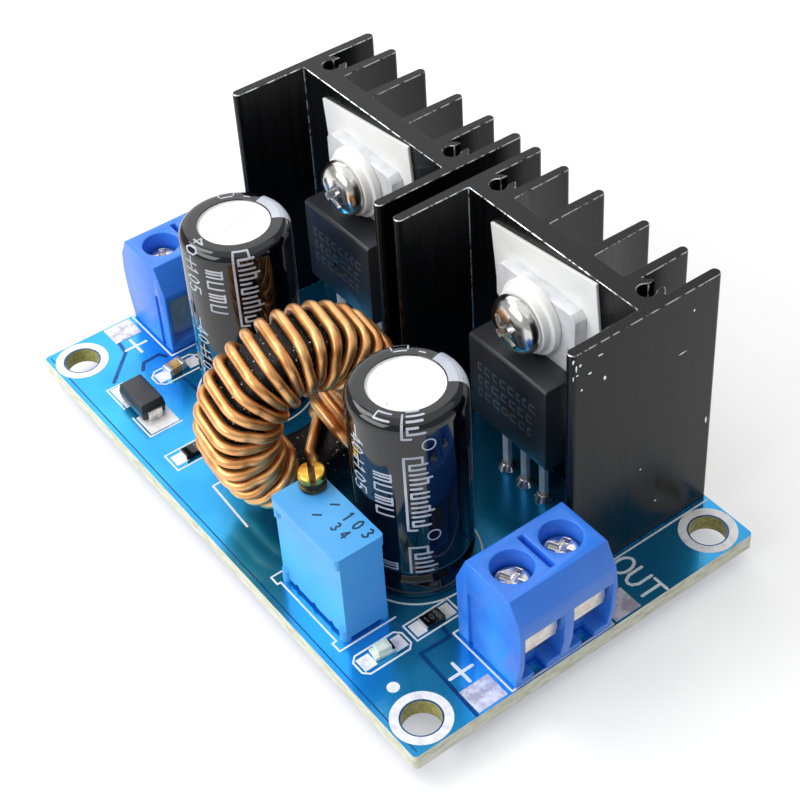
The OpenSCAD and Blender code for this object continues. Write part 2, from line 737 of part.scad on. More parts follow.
module trimmer_body() {
    x0 = trimmer_x;
    x1 = trimmer_x + trimmer_length;
    y0 = trimmer_y;
    y1 = trimmer_y + trimmer_width;
    low = top + trimmer_foot_h;
    color([0.25, 0.6, 0.9]) difference() {
        union() {
            // cap with rounded corners
            translate([(x0 + x1) / 2, (y0 + y1) / 2, trimmer_top - trimmer_cap_h])
                rounded_plate(trimmer_length, trimmer_width, trimmer_cap_h, 0.35);
            // case, set back on both long sides
            box([x0 + 0.1, y0 + trimmer_inset, low],
                [x1, y1 - trimmer_inset, trimmer_top - trimmer_cap_h + 0.1]);
            // end rib below the cap on the screw side
            for (y = [y0 + 0.45, y1 - 0.45]) translate([x0 + 0.45, y, trimmer_top - 2.1])
                cylinder(h = 1.5, r = 0.45);
            // feet
            for (x = [x0 + 0.5, x1 - 0.5], y = [y0 + 0.5, y1 - 0.5]) translate([x, y, top])
                cylinder(h = 1.3, r = 0.5);
        }
        // bore of the adjusting screw
        translate([trimmer_screw_x, trimmer_screw_y, trimmer_top - trimmer_shaft_l - 0.2])
            cylinder(h = trimmer_shaft_l + cut + 0.2, d = trimmer_shaft_d + 2 * slide_gap);
        // holes of the pins and the notches in the lower edge
        for (p = trimmer_leads()) {
            translate([p[0], p[1], 0]) cylinder(h = top + 2.2, d = trimmer_pin_d + 2 * fit_gap);
            translate([p[0], y0 - cut, low]) rotate([-90, 0, 0])
                cylinder(h = trimmer_width + 2 * cut, d = 0.7, $fn = 4);
        }
    }
}

module trimmer_screw() {
    color([0.85, 0.68, 0.25]) translate([trimmer_screw_x, trimmer_screw_y, trimmer_top + 0.1]) difference() {
        union() {
            cylinder(h = trimmer_head_h - 0.12, d = trimmer_head_d - 0.3);
            cylinder(h = 0.4, d = trimmer_head_d);
            translate([0, 0, trimmer_head_h - 0.7]) cylinder(h = 0.58, d = trimmer_head_d);
            translate([0, 0, trimmer_head_h - 0.12])
                cylinder(h = 0.12, d1 = trimmer_head_d, d2 = trimmer_head_d - 0.24);
            translate([0, 0, -trimmer_shaft_l - 0.1])
                cylinder(h = trimmer_shaft_l + 0.2, d = trimmer_shaft_d);
        }
        rotate([0, 0, -28]) translate([-trimmer_head_d, -0.26, trimmer_head_h - 0.7])
            cube([2 * trimmer_head_d, 0.52, 1]);
    }
}

module trimmer_pins() {
    color([0.78, 0.79, 0.8]) for (p = trimmer_leads())
        translate([p[0], p[1], -lead_stub]) cylinder(h = lead_stub + top + 2.2, d = trimmer_pin_d);
}

// ---------- terminals ----------

// puts a terminal's local sizes in place: side is 1 at OUT and -1 at IN
module at_terminal(side) {
    if (side > 0) translate([half_l - terminal_back, terminal_y, top]) children();
    else mirror([1, 0, 0]) translate([half_l - terminal_back, terminal_y, top]) children();
}

module terminal_profile() {
    h = terminal_height;
    polygon([
        [0.1, 0], [0, h - 3], [1.35, h], [terminal_reach - 1.4, h],
        [terminal_reach - 0.25, h - 2.2], [terminal_reach, h - 4.2],
        [terminal_reach - 0.2, terminal_toe], [terminal_reach - terminal_toe_in, 0]]);
}

module terminal_housing(side) {
    half = terminal_width / 2;
    color([0.15, 0.42, 0.88]) at_terminal(side) difference() {
        along_y(-half, half) terminal_profile();
        for (s = [-1, 1]) translate([0, s * pole_pitch / 2, 0]) {
            // screw well
            translate([pole_u, 0, entry_top - 0.2]) cylinder(h = terminal_height, d = well_d);
            // wire way, open to the front and the back
            box([-cut, -entry_width / 2, floor_t], [terminal_reach + cut, entry_width / 2, entry_top]);
            // room for the leaf above the entry
            box([leaf_back - 3 * play, -entry_width / 2, entry_top - 0.1],
                [leaf_front + play, entry_width / 2, leaf_top_w + leaf_t + leaf_travel_up + play]);
            // slot in the floor for the contact and its pin
            translate([pole_u, 0, -cut]) cylinder(h = floor_t + 2 * cut, d = terminal_pin_d + 2 * fit_gap);
            box([terminal_reach - 2.3, -0.7, -cut], [terminal_reach + cut, 0.7, floor_t + cut]);
        }
        // slit between the wells
        box([pole_u - 2.1, -0.28, terminal_height - 2], [pole_u + 2, 0.28, terminal_height + cut]);
        // joining grooves in the two sides
        for (s = [-1, 1]) translate([0, s * half, 0])
            box([1.5, -0.25, -cut], [2, 0.25, 6.2]);
    }
}

// the tinned contact of one pole: floor plate with its pin, back plate, and the tapped
// plate that the screw runs in
module pole_contact() {
    half = entry_width / 2 - fit_gap;
    difference() {
        union() {
            box([contact_back, -half, floor_t + fit_gap],
                [terminal_reach - 2.4, half, floor_t + fit_gap + contact_t]);
            box([contact_back, -half, floor_t + fit_gap],
                [contact_back + contact_t, half, nut_low + contact_t]);
            box([contact_back, -half, nut_low], [leaf_front - leaf_t - play, half, nut_low + contact_t]);
            translate([pole_u, 0, -top - lead_stub])
                cylinder(h = top + lead_stub + floor_t + 0.1, d = terminal_pin_d);
        }
        translate([pole_u, 0, nut_low - cut])
            cylinder(h = contact_t + 2 * cut, d = clamp_screw_d + 2 * slide_gap);
        // notches in which the leaf's two back strips slide
        for (k = [-1, 1]) translate([leaf_back - play, k * (leaf_w / 2 - leaf_strip / 2), nut_low - cut])
            translate([0, -leaf_strip / 2 - play - (k < 0 ? cut : 0), 0])
                cube([leaf_t + 2 * play, leaf_strip + 2 * play + cut, contact_t + 2 * cut]);
    }
}

module terminal_contacts(side) {
    color([0.8, 0.78, 0.7]) at_terminal(side)
        for (s = [-1, 1]) translate([0, s * pole_pitch / 2, 0]) pole_contact();
}

// the bent strip that the screw carries: plate under the head, front flap with round
// corners, and the back strip that ends in the foot that grips the wire
module clamp_leaf(side, s) {
    half = leaf_w / 2;
    high = leaf_top_w + leaf_t;
    u1 = leaf_front - leaf_t;
    color([0.86, 0.84, 0.8]) at_terminal(side) translate([0, s * pole_pitch / 2, 0]) {
        difference() {
            union() {
                box([leaf_back, -half, leaf_top_w], [leaf_front, half, high]);
                translate([u1, 0, 0]) rotate([90, 0, 90]) linear_extrude(leaf_t) union() {
                    translate([-half, flap_low + 0.5]) square([leaf_w, high - flap_low - 0.5]);
                    translate([-half + 0.5, flap_low]) square([leaf_w - 1, 1]);
                    for (k = [-1, 1]) translate([k * (half - 0.5), flap_low + 0.5]) circle(0.5);
                }
                for (k = [-1, 1])
                    translate([leaf_back, k * (half - leaf_strip / 2) - leaf_strip / 2, clamp_set])
                    cube([leaf_t, leaf_strip, high - clamp_set]);
                box([leaf_back, -half, clamp_set], [leaf_front - 0.15, half, clamp_set + leaf_t]);
            }
            translate([pole_u, 0, leaf_top_w - cut])
                cylinder(h = leaf_t + 2 * cut, d = clamp_screw_d + 2 * play);
        }
    }
}

// the clamping screw: cheese head with a cross recess and a threaded shank
module clamp_screw(side, s) {
    tip = clamp_set + leaf_t + 0.03;
    color([0.85, 0.85, 0.86]) at_terminal(side) translate([pole_u, s * pole_pitch / 2, 0]) difference() {
        union() {
            translate([0, 0, head_low]) cylinder(h = clamp_head_h - 0.2, d = clamp_head_d);
            translate([0, 0, head_low + clamp_head_h - 0.2])
                cylinder(h = 0.2, d1 = clamp_head_d, d2 = clamp_head_d - 0.5);
            translate([0, 0, tip]) cylinder(h = head_low - tip + 0.1, d = clamp_screw_d);
        }
        for (a = [25, 115]) rotate([0, 0, a])
            translate([-1.3, -0.3, head_low + clamp_head_h - 0.6]) cube([2.6, 0.6, 1]);
    }
}

module terminal_housing_in() terminal_housing(-1);
module terminal_housing_out() terminal_housing(1);
module terminal_contacts_in() terminal_contacts(-1);
module terminal_contacts_out() terminal_contacts(1);
module clamp_leaf_in_plus() clamp_leaf(-1, -1);
module clamp_leaf_in_minus() clamp_leaf(-1, 1);
module clamp_leaf_out_plus() clamp_leaf(1, -1);
module clamp_leaf_out_minus() clamp_leaf(1, 1);
module clamp_screw_in_plus() clamp_screw(-1, -1);
module clamp_screw_in_minus() clamp_screw(-1, 1);
module clamp_screw_out_plus() clamp_screw(1, -1);
module clamp_screw_out_minus() clamp_screw(1, 1);

// ---------- small surface mounted parts ----------

// moulded body with drafted sides
module smd_diode() {
    low = top + diode_foot + 0.15;
    high = top + diode_h;
    half = smd_diode_length / 2;
    color([0.08, 0.08, 0.09]) translate([diode_x, diode_y, 0]) intersection() {
        along_y(-diode_w / 2, diode_w / 2) polygon([
            [-half + 0.1, low], [half - 0.1, low], [half, (low + high) / 2],
            [half - 0.15, high], [-half + 0.15, high], [-half, (low + high) / 2]]);
        translate([-half - 1, 0, 0]) rotate([90, 0, 90]) linear_extrude(2 * half + 2) polygon([
            [-diode_w / 2 + 0.1, low], [diode_w / 2 - 0.1, low], [diode_w / 2, (low + high) / 2],
            [diode_w / 2 - 0.15, high], [-diode_w / 2 + 0.15, high], [-diode_w / 2, (low + high) / 2]]);
    }
}

// the tinned tabs that bend down the ends and under the body
module smd_diode_tabs() {
    half = smd_diode_length / 2;
    mid = top + (diode_foot + 0.15 + diode_h) / 2;
    color([0.8, 0.8, 0.8]) for (s = [-1, 1]) translate([diode_x, diode_y, 0]) mirror([s > 0 ? 0 : 1, 0, 0]) {
        box([half + 0.02, -0.75, top], [half + 0.25, 0.75, mid + 0.1]);
        box([half - 1, -0.75, top], [half + 0.1, 0.75, top + diode_foot + 0.13]);
    }
}

// a chip lamp: flat carrier with the moulded lens on it
module indicator_lamp() {
    color([0.9, 0.9, 0.85]) translate([lamp_x, lamp_y, top]) rotate([0, 0, lamp_turn]) union() {
        box([-chip_width / 2, -chip_length / 2, 0], [chip_width / 2, chip_length / 2, 0.4]);
        along_y(-chip_length / 2 + 0.35, chip_length / 2 - 0.35) polygon([
            [-chip_width / 2 + 0.05, 0.3], [chip_width / 2 - 0.05, 0.3],
            [chip_width / 2 - 0.15, 0.9], [-chip_width / 2 + 0.15, 0.9]]);
    }
}

// a chip resistor with its wrapped end caps
module chip_resistor(x, y) {
    color([0.12, 0.12, 0.12]) translate([x, y, top]) union() {
        box([-chip_width / 2, -chip_length / 2 + 0.02, 0.02], [chip_width / 2, chip_length / 2 - 0.02, 0.5]);
        for (s = [-1, 1]) translate([0, s * (chip_length / 2 - 0.2), 0])
            box([-chip_width / 2 - 0.02, -0.2, 0], [chip_width / 2 + 0.02, 0.2, 0.54]);
    }
}

// a ceramic block between its two plated ends
module chip_capacitor() {
    h = 0.85;
    color([0.72, 0.6, 0.45]) translate([chip_cap_x, chip_cap_y, top]) rotate([0, 0, chip_cap_turn]) union() {
        box([-chip_width / 2, -chip_length / 2 + 0.02, 0.02], [chip_width / 2, chip_length / 2 - 0.02, h]);
        for (s = [-1, 1]) translate([0, s * (chip_length / 2 - 0.25), 0])
            box([-chip_width / 2 - 0.02, -0.25, 0], [chip_width / 2 + 0.02, 0.25, h + 0.03]);
    }
}

module resistor_in() chip_resistor(resistor_in_x, resistor_in_y);
module resistor_out() chip_resistor(resistor_out_x, resistor_out_y);

// ---------- the part ----------

board();
solder_joints();
lead_fillets();
heatsink_in();
heatsink_out();
heatsink_pins_in();
heatsink_pins_out();
insulating_pad_in();
insulating_pad_out();
insulating_bush_in();
insulating_bush_out();
fixing_screw_in();
fixing_screw_out();
regulator_body();
regulator_leadframe();
diode_body();
diode_leadframe();
capacitor_can_in();
capacitor_sleeve_in();
capacitor_bung_in();
capacitor_leads_in();
capacitor_can_out();
capacitor_sleeve_out();
capacitor_bung_out();
capacitor_leads_out();
coil_core();
coil_winding();
trimmer_body();
trimmer_screw();
trimmer_pins();
terminal_housing_in();
terminal_contacts_in();
terminal_housing_out();
terminal_contacts_out();
clamp_leaf_in_plus();
clamp_leaf_in_minus();
clamp_leaf_out_plus();
clamp_leaf_out_minus();
clamp_screw_in_plus();
clamp_screw_in_minus();
clamp_screw_out_plus();
clamp_screw_out_minus();
smd_diode();
smd_diode_tabs();
chip_capacitor();
indicator_lamp();
resistor_in();
resistor_out();
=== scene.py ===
import bpy
import bmesh
import json
import math
import random
from mathutils import Matrix, Vector


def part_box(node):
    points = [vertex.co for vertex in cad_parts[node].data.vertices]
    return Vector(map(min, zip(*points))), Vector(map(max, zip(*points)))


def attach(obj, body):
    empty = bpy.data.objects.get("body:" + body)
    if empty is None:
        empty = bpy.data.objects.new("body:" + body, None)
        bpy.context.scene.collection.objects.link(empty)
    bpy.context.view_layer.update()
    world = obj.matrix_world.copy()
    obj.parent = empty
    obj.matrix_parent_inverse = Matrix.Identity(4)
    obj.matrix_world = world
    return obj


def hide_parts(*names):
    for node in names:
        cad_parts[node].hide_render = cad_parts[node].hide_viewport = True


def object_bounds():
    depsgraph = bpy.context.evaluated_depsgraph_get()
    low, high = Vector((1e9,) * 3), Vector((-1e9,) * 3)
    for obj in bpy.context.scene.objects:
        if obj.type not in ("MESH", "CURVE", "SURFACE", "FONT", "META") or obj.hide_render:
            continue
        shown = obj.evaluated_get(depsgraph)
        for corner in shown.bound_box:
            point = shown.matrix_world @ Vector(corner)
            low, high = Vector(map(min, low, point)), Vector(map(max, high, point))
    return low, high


# Adjustable buck converter module: solder mask, anodised fins, enamelled coil,
# shrink-sleeved capacitors and blue moulded terminals.
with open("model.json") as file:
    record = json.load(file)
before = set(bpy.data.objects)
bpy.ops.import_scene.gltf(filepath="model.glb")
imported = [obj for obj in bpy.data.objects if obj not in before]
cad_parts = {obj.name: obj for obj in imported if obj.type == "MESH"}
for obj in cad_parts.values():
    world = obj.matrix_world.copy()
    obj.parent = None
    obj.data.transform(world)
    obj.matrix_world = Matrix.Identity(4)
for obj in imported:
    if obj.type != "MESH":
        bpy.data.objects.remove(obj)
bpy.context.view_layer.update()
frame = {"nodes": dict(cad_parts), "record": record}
parts = frame["nodes"]
scene = bpy.context.scene
milli = 0.001
print("frame loaded:", len(parts), "nodes")


def hexColour(code, alpha=1.0):
    # sRGB hex to the linear values a shader wants
    channels = [int(code[i:i + 2], 16) / 255 for i in (1, 3, 5)]
    linear = [c / 12.92 if c <= 0.04045 else ((c + 0.055) / 1.055) ** 2.4 for c in channels]
    return (*linear, alpha)


def addNode(tree, kind, settings=None, links=None, stops=()):
    # one node with its settings; a link value that is a socket is wired, any other is set,
    # and stops are the places and colours of a ramp
    node = tree.nodes.new(kind)
    for name, value in (settings or {}).items():
        setattr(node, name, value)
    for name, value in (links or {}).items():
        socket = node.inputs[name]
        if isinstance(value, bpy.types.NodeSocket):
            tree.links.new(value, socket)
        else:
            socket.default_value = value
    if stops:
        marks = node.color_ramp.elements
        while len(marks) < len(stops):
            marks.new(0.5)
        for mark, (place, colour) in zip(marks, stops):
            mark.position = place
            mark.color = hexColour(colour)
    return node


def startMaterial(name, surface):
    # a principled surface and coordinates in millimetres
    material = bpy.data.materials.new(name)
    material.use_nodes = True
    tree = material.node_tree
    tree.nodes.clear()
    shader = addNode(tree, "ShaderNodeBsdfPrincipled", links=surface)
    addNode(tree, "ShaderNodeOutputMaterial", links={"Surface": shader.outputs[0]})
    place = addNode(tree, "ShaderNodeTexCoord")
    perMetre = 1 / milli
    inMm = addNode(tree, "ShaderNodeMapping", links={
        "Vector": place.outputs["Object"], "Scale": (perMetre, perMetre, perMetre)})
    return material, tree, shader, inMm.outputs[0]


def noiseOf(tree, where, size, detail=3.0, rough=0.5, stretch=(1, 1, 1)):
    # noise whose spots are about size millimetres across
    scaled = addNode(tree, "ShaderNodeMapping", links={
        "Vector": where, "Scale": tuple(s / size for s in stretch)})
    return addNode(tree, "ShaderNodeTexNoise", links={
        "Vector": scaled.outputs[0], "Scale": 1.0, "Detail": detail, "Roughness": rough}).outputs["Fac"]


def tinted(tree, where, stops, **spots):
    # spots in several colours, and the bare pattern behind them
    pattern = noiseOf(tree, where, **spots)
    colour = addNode(tree, "ShaderNodeValToRGB", links={"Fac": pattern}, stops=stops)
    return colour.outputs["Color"], pattern


def relief(tree, where, shader, depth, strength, **spots):
    # spots that stand depth millimetres proud
    bump = addNode(tree, "ShaderNodeBump", links={
        "Height": noiseOf(tree, where, **spots), "Distance": depth * milli, "Strength": strength})
    tree.links.new(bump.outputs[0], shader.inputs["Normal"])


def grey(v):
    return (v, v, v, 1.0)


def addPiece(name, mesh, material, body="module", stands=None, smooth=35):
    piece = bpy.data.objects.new(name, mesh)
    scene.collection.objects.link(piece)
    wanted = material if isinstance(material, (list, tuple)) else [material]
    for index, finish in enumerate(wanted):
        if index < len(mesh.materials):
            mesh.materials[index] = finish
        else:
            mesh.materials.append(finish)
    if smooth is not None:
        mesh.shade_smooth()
        mesh.set_sharp_from_angle(angle=math.radians(smooth))
    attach(piece, body)
    if stands:
        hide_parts(stands)
    return piece


def meshFrom(name, vertices, faces, unit=milli):
    mesh = bpy.data.meshes.new(name)
    mesh.from_pydata([tuple(c * unit for c in v) for v in vertices], [], faces)
    mesh.update()
    return mesh


def bodyOf(nodeName):
    for body, members in frame["record"]["behaviour"]["bodies"].items():
        if nodeName in members:
            return body
    return "module"


def cleanCopy(nodeName):
    # the solid's own mesh, with its flat faces joined again
    form = bmesh.new()
    form.from_mesh(parts[nodeName].data)
    bmesh.ops.remove_doubles(form, verts=form.verts, dist=2e-6)
    bmesh.ops.dissolve_limit(form, angle_limit=math.radians(0.8), verts=form.verts, edges=form.edges)
    for face in form.faces:
        face.material_index = 0
    return form


def eased(nodeName, material, width, segments=2, angle=32, edgeMaterial=None, smooth=35, clamp=False):
    # the solid with its edges rounded as moulding or stamping leaves them
    form = cleanCopy(nodeName)
    mesh = bpy.data.meshes.new(nodeName + ".eased")
    form.to_mesh(mesh)
    form.free()
    carrier = bpy.data.objects.new("carrier", mesh)
    scene.collection.objects.link(carrier)
    materials = [material, edgeMaterial] if edgeMaterial else [material]
    for finish in materials:
        mesh.materials.append(finish)
    bevel = carrier.modifiers.new("edge", "BEVEL")
    bevel.width = width * milli
    bevel.segments = segments
    bevel.limit_method = "ANGLE"
    bevel.angle_limit = math.radians(angle)
    bevel.use_clamp_overlap = clamp
    bevel.miter_outer = "MITER_ARC"
    if edgeMaterial:
        bevel.material = 1
    bpy.context.view_layer.update()
    graph = bpy.context.evaluated_depsgraph_get()
    worked = bpy.data.meshes.new_from_object(carrier.evaluated_get(graph))
    bpy.data.objects.remove(carrier)
    return addPiece(nodeName + ".part", worked, materials, bodyOf(nodeName), nodeName,
                    smooth)


def lathe(profile, centre, axis=(0, 0, 1), steps=72):
    # turns (radius, height) pairs about an axis, all in millimetres
    turn = Vector((0, 0, 1)).rotation_difference(Vector(axis)).to_matrix()
    vertices, faces, rings = [], [], []
    for radius, height in profile:
        if radius < 1e-6:
            rings.append([len(vertices)])
            vertices.append(Vector(centre) + turn @ Vector((0, 0, height)))
            continue
        rings.append(list(range(len(vertices), len(vertices) + steps)))
        for k in range(steps):
            a = 2 * math.pi * k / steps
            vertices.append(Vector(centre) + turn @ Vector((radius * math.cos(a), radius * math.sin(a), height)))
    for low, high in zip(rings, rings[1:]):
        for k in range(steps):
            n = (k + 1) % steps
            if len(low) == 1 and len(high) > 1:
                faces.append((low[0], high[n], high[k]))
            elif len(high) == 1 and len(low) > 1:
                faces.append((low[k], low[n], high[0]))
            elif len(low) > 1:
                faces.append((low[k], low[n], high[n], high[k]))
    return vertices, faces


def rounded(profile, radius, steps=4):
    # rounds the inner corners of an open outline
    result = [profile[0]]
    for a, b, c in zip(profile, profile[1:], profile[2:]):
        a, b, c = Vector(a), Vector(b), Vector(c)
        reach = min(radius, (a - b).length * 0.45, (c - b).length * 0.45)
        start, end = b + (a - b).normalized() * reach, b + (c - b).normalized() * reach
        for i in range(steps + 1):
            t = i / steps
            result.append(tuple((1 - t) ** 2 * start + 2 * t * (1 - t) * b + t ** 2 * end))
    result.append(profile[-1])
    return result


def arcPoints(cx, cy, r, a0, a1, steps):
    return [(cx + r * math.cos(math.radians(a0 + (a1 - a0) * i / steps)),
             cy + r * math.sin(math.radians(a0 + (a1 - a0) * i / steps))) for i in range(steps + 1)]


def makeSolderMask():
    # glossy epoxy mask over copper: the metal below gives its shine a deep sky blue
    look = {"bright": "#2fb8f6", "deep": "#1ba2e4", "rough": 0.24, "metallic": 0.85}
    material, tree, shader, where = startMaterial("solderMask", {
        "Metallic": look["metallic"], "Roughness": look["rough"],
        "Coat Weight": 0.5, "Coat Roughness": 0.06})
    tint = tinted(tree, where, [(0.35, look["deep"]), (0.65, look["bright"])], size=7.0, detail=2.0)[0]
    tree.links.new(tint, shader.inputs["Base Color"])
    relief(tree, where, shader, 0.01, 0.6, size=0.7, detail=2.0)   # orange peel of the cured mask
    return material


def makeBuriedTrace():
    # mask that sinks between two copper areas: a darker, duller line over bare laminate
    look = {"line": "#0d5aa2", "soft": "#0a4580"}
    material, tree, shader, where = startMaterial("maskOverGap", {
        "Roughness": 0.25, "IOR": 1.5, "Metallic": 0.5})
    tint = tinted(tree, where, [(0.4, look["soft"]), (0.6, look["line"])], size=2.5)[0]
    tree.links.new(tint, shader.inputs["Base Color"])
    return material


def makeGlassFibre():
    # sawn edge of the glass-fibre laminate: cream, with layered fibres and a greenish resin
    look = {"resin": "#e3e5cf", "fibre": "#f5f5ea", "burn": "#c3c5a8"}
    layers = {"size": 0.3, "rough": 0.6, "stretch": (0.2, 0.2, 1)}
    material, tree, shader, where = startMaterial("glassFibreEdge", {"Roughness": 0.55, "IOR": 1.5})
    stops = [(0.3, look["burn"]), (0.48, look["resin"]), (0.66, look["fibre"])]
    tree.links.new(tinted(tree, where, stops, **layers)[0], shader.inputs["Base Color"])
    relief(tree, where, shader, 0.03, 0.6, **layers)
    return material


def makeHoleWall():
    # drilled wall of a mounting hole: bare olive laminate with a shine of resin
    look = {"olive": "#8d8c3c", "gold": "#b9b26a"}
    material, tree, shader, where = startMaterial("drilledLaminate", {"Roughness": 0.4, "IOR": 1.5})
    tint = tinted(tree, where, [(0.35, look["olive"]), (0.65, look["gold"])], size=0.4)[0]
    tree.links.new(tint, shader.inputs["Base Color"])
    return material


def makeSolder():
    # reflowed tin: bright, with shallow dimples and dull flux spots
    look = {"bright": "#ececee", "dull": "#b0aeaa", "rough": (0.2, 0.45)}
    material, tree, shader, where = startMaterial("tinSolder", {"Metallic": 1.0})
    tint, patch = tinted(tree, where, [(0.35, look["dull"]), (0.6, look["bright"])], size=0.9)
    dullness = addNode(tree, "ShaderNodeMapRange", links={
        "Value": patch, "From Min": 0.3, "From Max": 0.7,
        "To Min": look["rough"][1], "To Max": look["rough"][0]})
    tree.links.new(tint, shader.inputs["Base Color"])
    tree.links.new(dullness.outputs["Result"], shader.inputs["Roughness"])
    relief(tree, where, shader, 0.06, 0.7, size=0.55, detail=2.0)
    return material


def makePlatedPad():
    # tinned pad, levelled by hot air: nearly white with faint ripples
    look = {"light": "#ffffff", "shade": "#e8e6ec"}
    material, tree, shader, where = startMaterial("tinnedPad", {"Metallic": 0.15, "Roughness": 0.45})
    tint = tinted(tree, where, [(0.32, look["shade"]), (0.55, look["light"])], size=0.8, detail=4.0)[0]
    tree.links.new(tint, shader.inputs["Base Color"])
    relief(tree, where, shader, 0.03, 0.6, size=0.7)
    return material


def makeTestPad():
    # test pad with a thin smear of solder: silver clouded purple grey
    look = {"light": "#f8f7fa", "cloud": "#c4bfca"}
    material, tree, shader, where = startMaterial("smearedTin", {"Metallic": 0.35, "Roughness": 0.4})
    stops = [(0.38, look["cloud"]), (0.56, look["light"])]
    tint = tinted(tree, where, stops, size=1.1, detail=4.0, rough=0.6)[0]
    tree.links.new(tint, shader.inputs["Base Color"])
    relief(tree, where, shader, 0.05, 0.8, size=0.5)
    return material


def makeInk():
    # screen-printed white epoxy ink
    look = {"white": "#f6f8f8", "worn": "#dfeaf0"}
    material, tree, shader, where = startMaterial("whiteInk", {"Roughness": 0.5, "IOR": 1.5})
    tint = tinted(tree, where, [(0.35, look["worn"]), (0.5, look["white"])], size=0.35)[0]
    tree.links.new(tint, shader.inputs["Base Color"])
    return material


def makeAnodised():
    # black anodised extrusion: near black and satin, drawn faintly along its length
    look = {"black": "#040405", "dust": "#0b0b0d", "rough": (0.24, 0.34), "ior": 1.34}
    lines = {"size": 0.6, "rough": 0.6, "stretch": (1, 1, 0.03)}
    material, tree, shader, where = startMaterial("anodisedAluminium", {"IOR": look["ior"]})
    tint, drawn = tinted(tree, where, [(0.3, look["black"]), (0.75, look["dust"])], **lines)
    satin = addNode(tree, "ShaderNodeMapRange", links={
        "Value": drawn, "From Min": 0.3, "From Max": 0.7,
        "To Min": look["rough"][0], "To Max": look["rough"][1]})
    tree.links.new(tint, shader.inputs["Base Color"])
    tree.links.new(satin.outputs["Result"], shader.inputs["Roughness"])
    relief(tree, where, shader, 0.006, 0.4, **lines)
    return material


def makeBareEdge():
    # extrusion edges rubbed through to the metal, with black left in patches
    look = {"metal": "#f0f1f3", "black": "#2a2b2f"}
    material, tree, shader, where = startMaterial("rubbedEdge", {"Roughness": 0.34})
    bare = addNode(tree, "ShaderNodeMapRange", links={
        "Value": noiseOf(tree, where, 0.8, 5.0, 0.7), "From Min": 0.42, "From Max": 0.54}).outputs["Result"]
    tint = addNode(tree, "ShaderNodeMix", {"data_type": "RGBA"}, {
        0: bare, 6: hexColour(look["black"]), 7: hexColour(look["metal"])}).outputs[2]
    tree.links.new(tint, shader.inputs["Base Color"])
    tree.links.new(bare, shader.inputs["Metallic"])
    return material


def makeSteel(name, light, shade, rough, metallic=1.0):
    # tinned or plated metal, with a little cloudiness
    material, tree, shader, where = startMaterial(name, {"Metallic": metallic})
    tint, cloud = tinted(tree, where, [(0.35, shade), (0.62, light)], size=1.2)
    polish = addNode(tree, "ShaderNodeMapRange", links={
        "Value": cloud, "From Min": 0.3, "From Max": 0.7, "To Min": rough[1], "To Max": rough[0]})
    tree.links.new(tint, shader.inputs["Base Color"])
    tree.links.new(polish.outputs["Result"], shader.inputs["Roughness"])
    relief(tree, where, shader, 0.006, 0.4, size=0.25, detail=2.0)
    return material


def makeCopper():
    # drawn copper under amber enamel: warm orange with a broad shine along each turn
    look = {"amber": "#f9bf7c", "deep": "#d78c46", "rough": 0.36}
    material, tree, shader, where = startMaterial("enamelledCopper", {
        "Metallic": 0.85, "Roughness": look["rough"],
        "Coat Weight": 0.5, "Coat Roughness": 0.3, "Coat IOR": 1.55})
    tint = tinted(tree, where, [(0.3, look["deep"]), (0.6, look["amber"])], size=2.2)[0]
    tree.links.new(tint, shader.inputs["Base Color"])
    return material


def makeCore():
    # epoxy-dusted powder core: black and grainy, with a few bright grains of resin
    look = {"black": "#030303", "brown": "#0c0a09", "speck": "#fffaf2"}
    material, tree, shader, where = startMaterial("coatedCore", {"Roughness": 0.5, "IOR": 1.35})
    base = tinted(tree, where, [(0.35, look["black"]), (0.7, look["brown"])], size=0.8, detail=4.0)[0]
    speck = addNode(tree, "ShaderNodeMapRange", links={
        "Value": noiseOf(tree, where, 0.3, 2.0, 0.6), "From Min": 0.68, "From Max": 0.7}).outputs["Result"]
    tint = addNode(tree, "ShaderNodeMix", {"data_type": "RGBA"}, {
        0: speck, 6: base, 7: hexColour(look["speck"])}).outputs[2]
    tree.links.new(tint, shader.inputs["Base Color"])
    relief(tree, where, shader, 0.07, 0.8, size=0.35)
    return material


def makePlastic(name, light, shade, rough, ior=1.5, grain=0.35, depth=0.01, coat=0.0, subsurface=0.0):
    # moulded plastic: even colour, faint flow clouds and a fine spark-eroded grain
    surface = {"Roughness": rough, "IOR": ior, "Coat Weight": coat, "Coat Roughness": 0.1}
    if subsurface:
        surface.update({"Subsurface Weight": subsurface, "Subsurface Radius": (0.4, 0.4, 0.5),
                        "Subsurface Scale": 0.001})
    material, tree, shader, where = startMaterial(name, surface)
    tint = tinted(tree, where, [(0.3, shade), (0.7, light)], size=3.5)[0]
    tree.links.new(tint, shader.inputs["Base Color"])
    relief(tree, where, shader, depth, 0.5, size=grain)
    return material


def makeCanTop():
    # drawn aluminium painted nearly white and not metallic: its own pale metal plus its glare, as a painted highlight
    look = {"light": "#ffffff", "shade": "#f6f6f8"}
    brushed = {"size": 1.2, "rough": 0.6, "stretch": (0.2, 1, 1)}
    material, tree, shader, where = startMaterial("drawnAluminiumPaintedGlare", {
        "Metallic": 0.0, "Roughness": 0.5, "IOR": 1.5})
    tint = tinted(tree, where, [(0.35, look["shade"]), (0.55, look["light"])], **brushed)[0]
    tree.links.new(tint, shader.inputs["Base Color"])
    relief(tree, where, shader, 0.006, 0.4, **brushed)
    return material


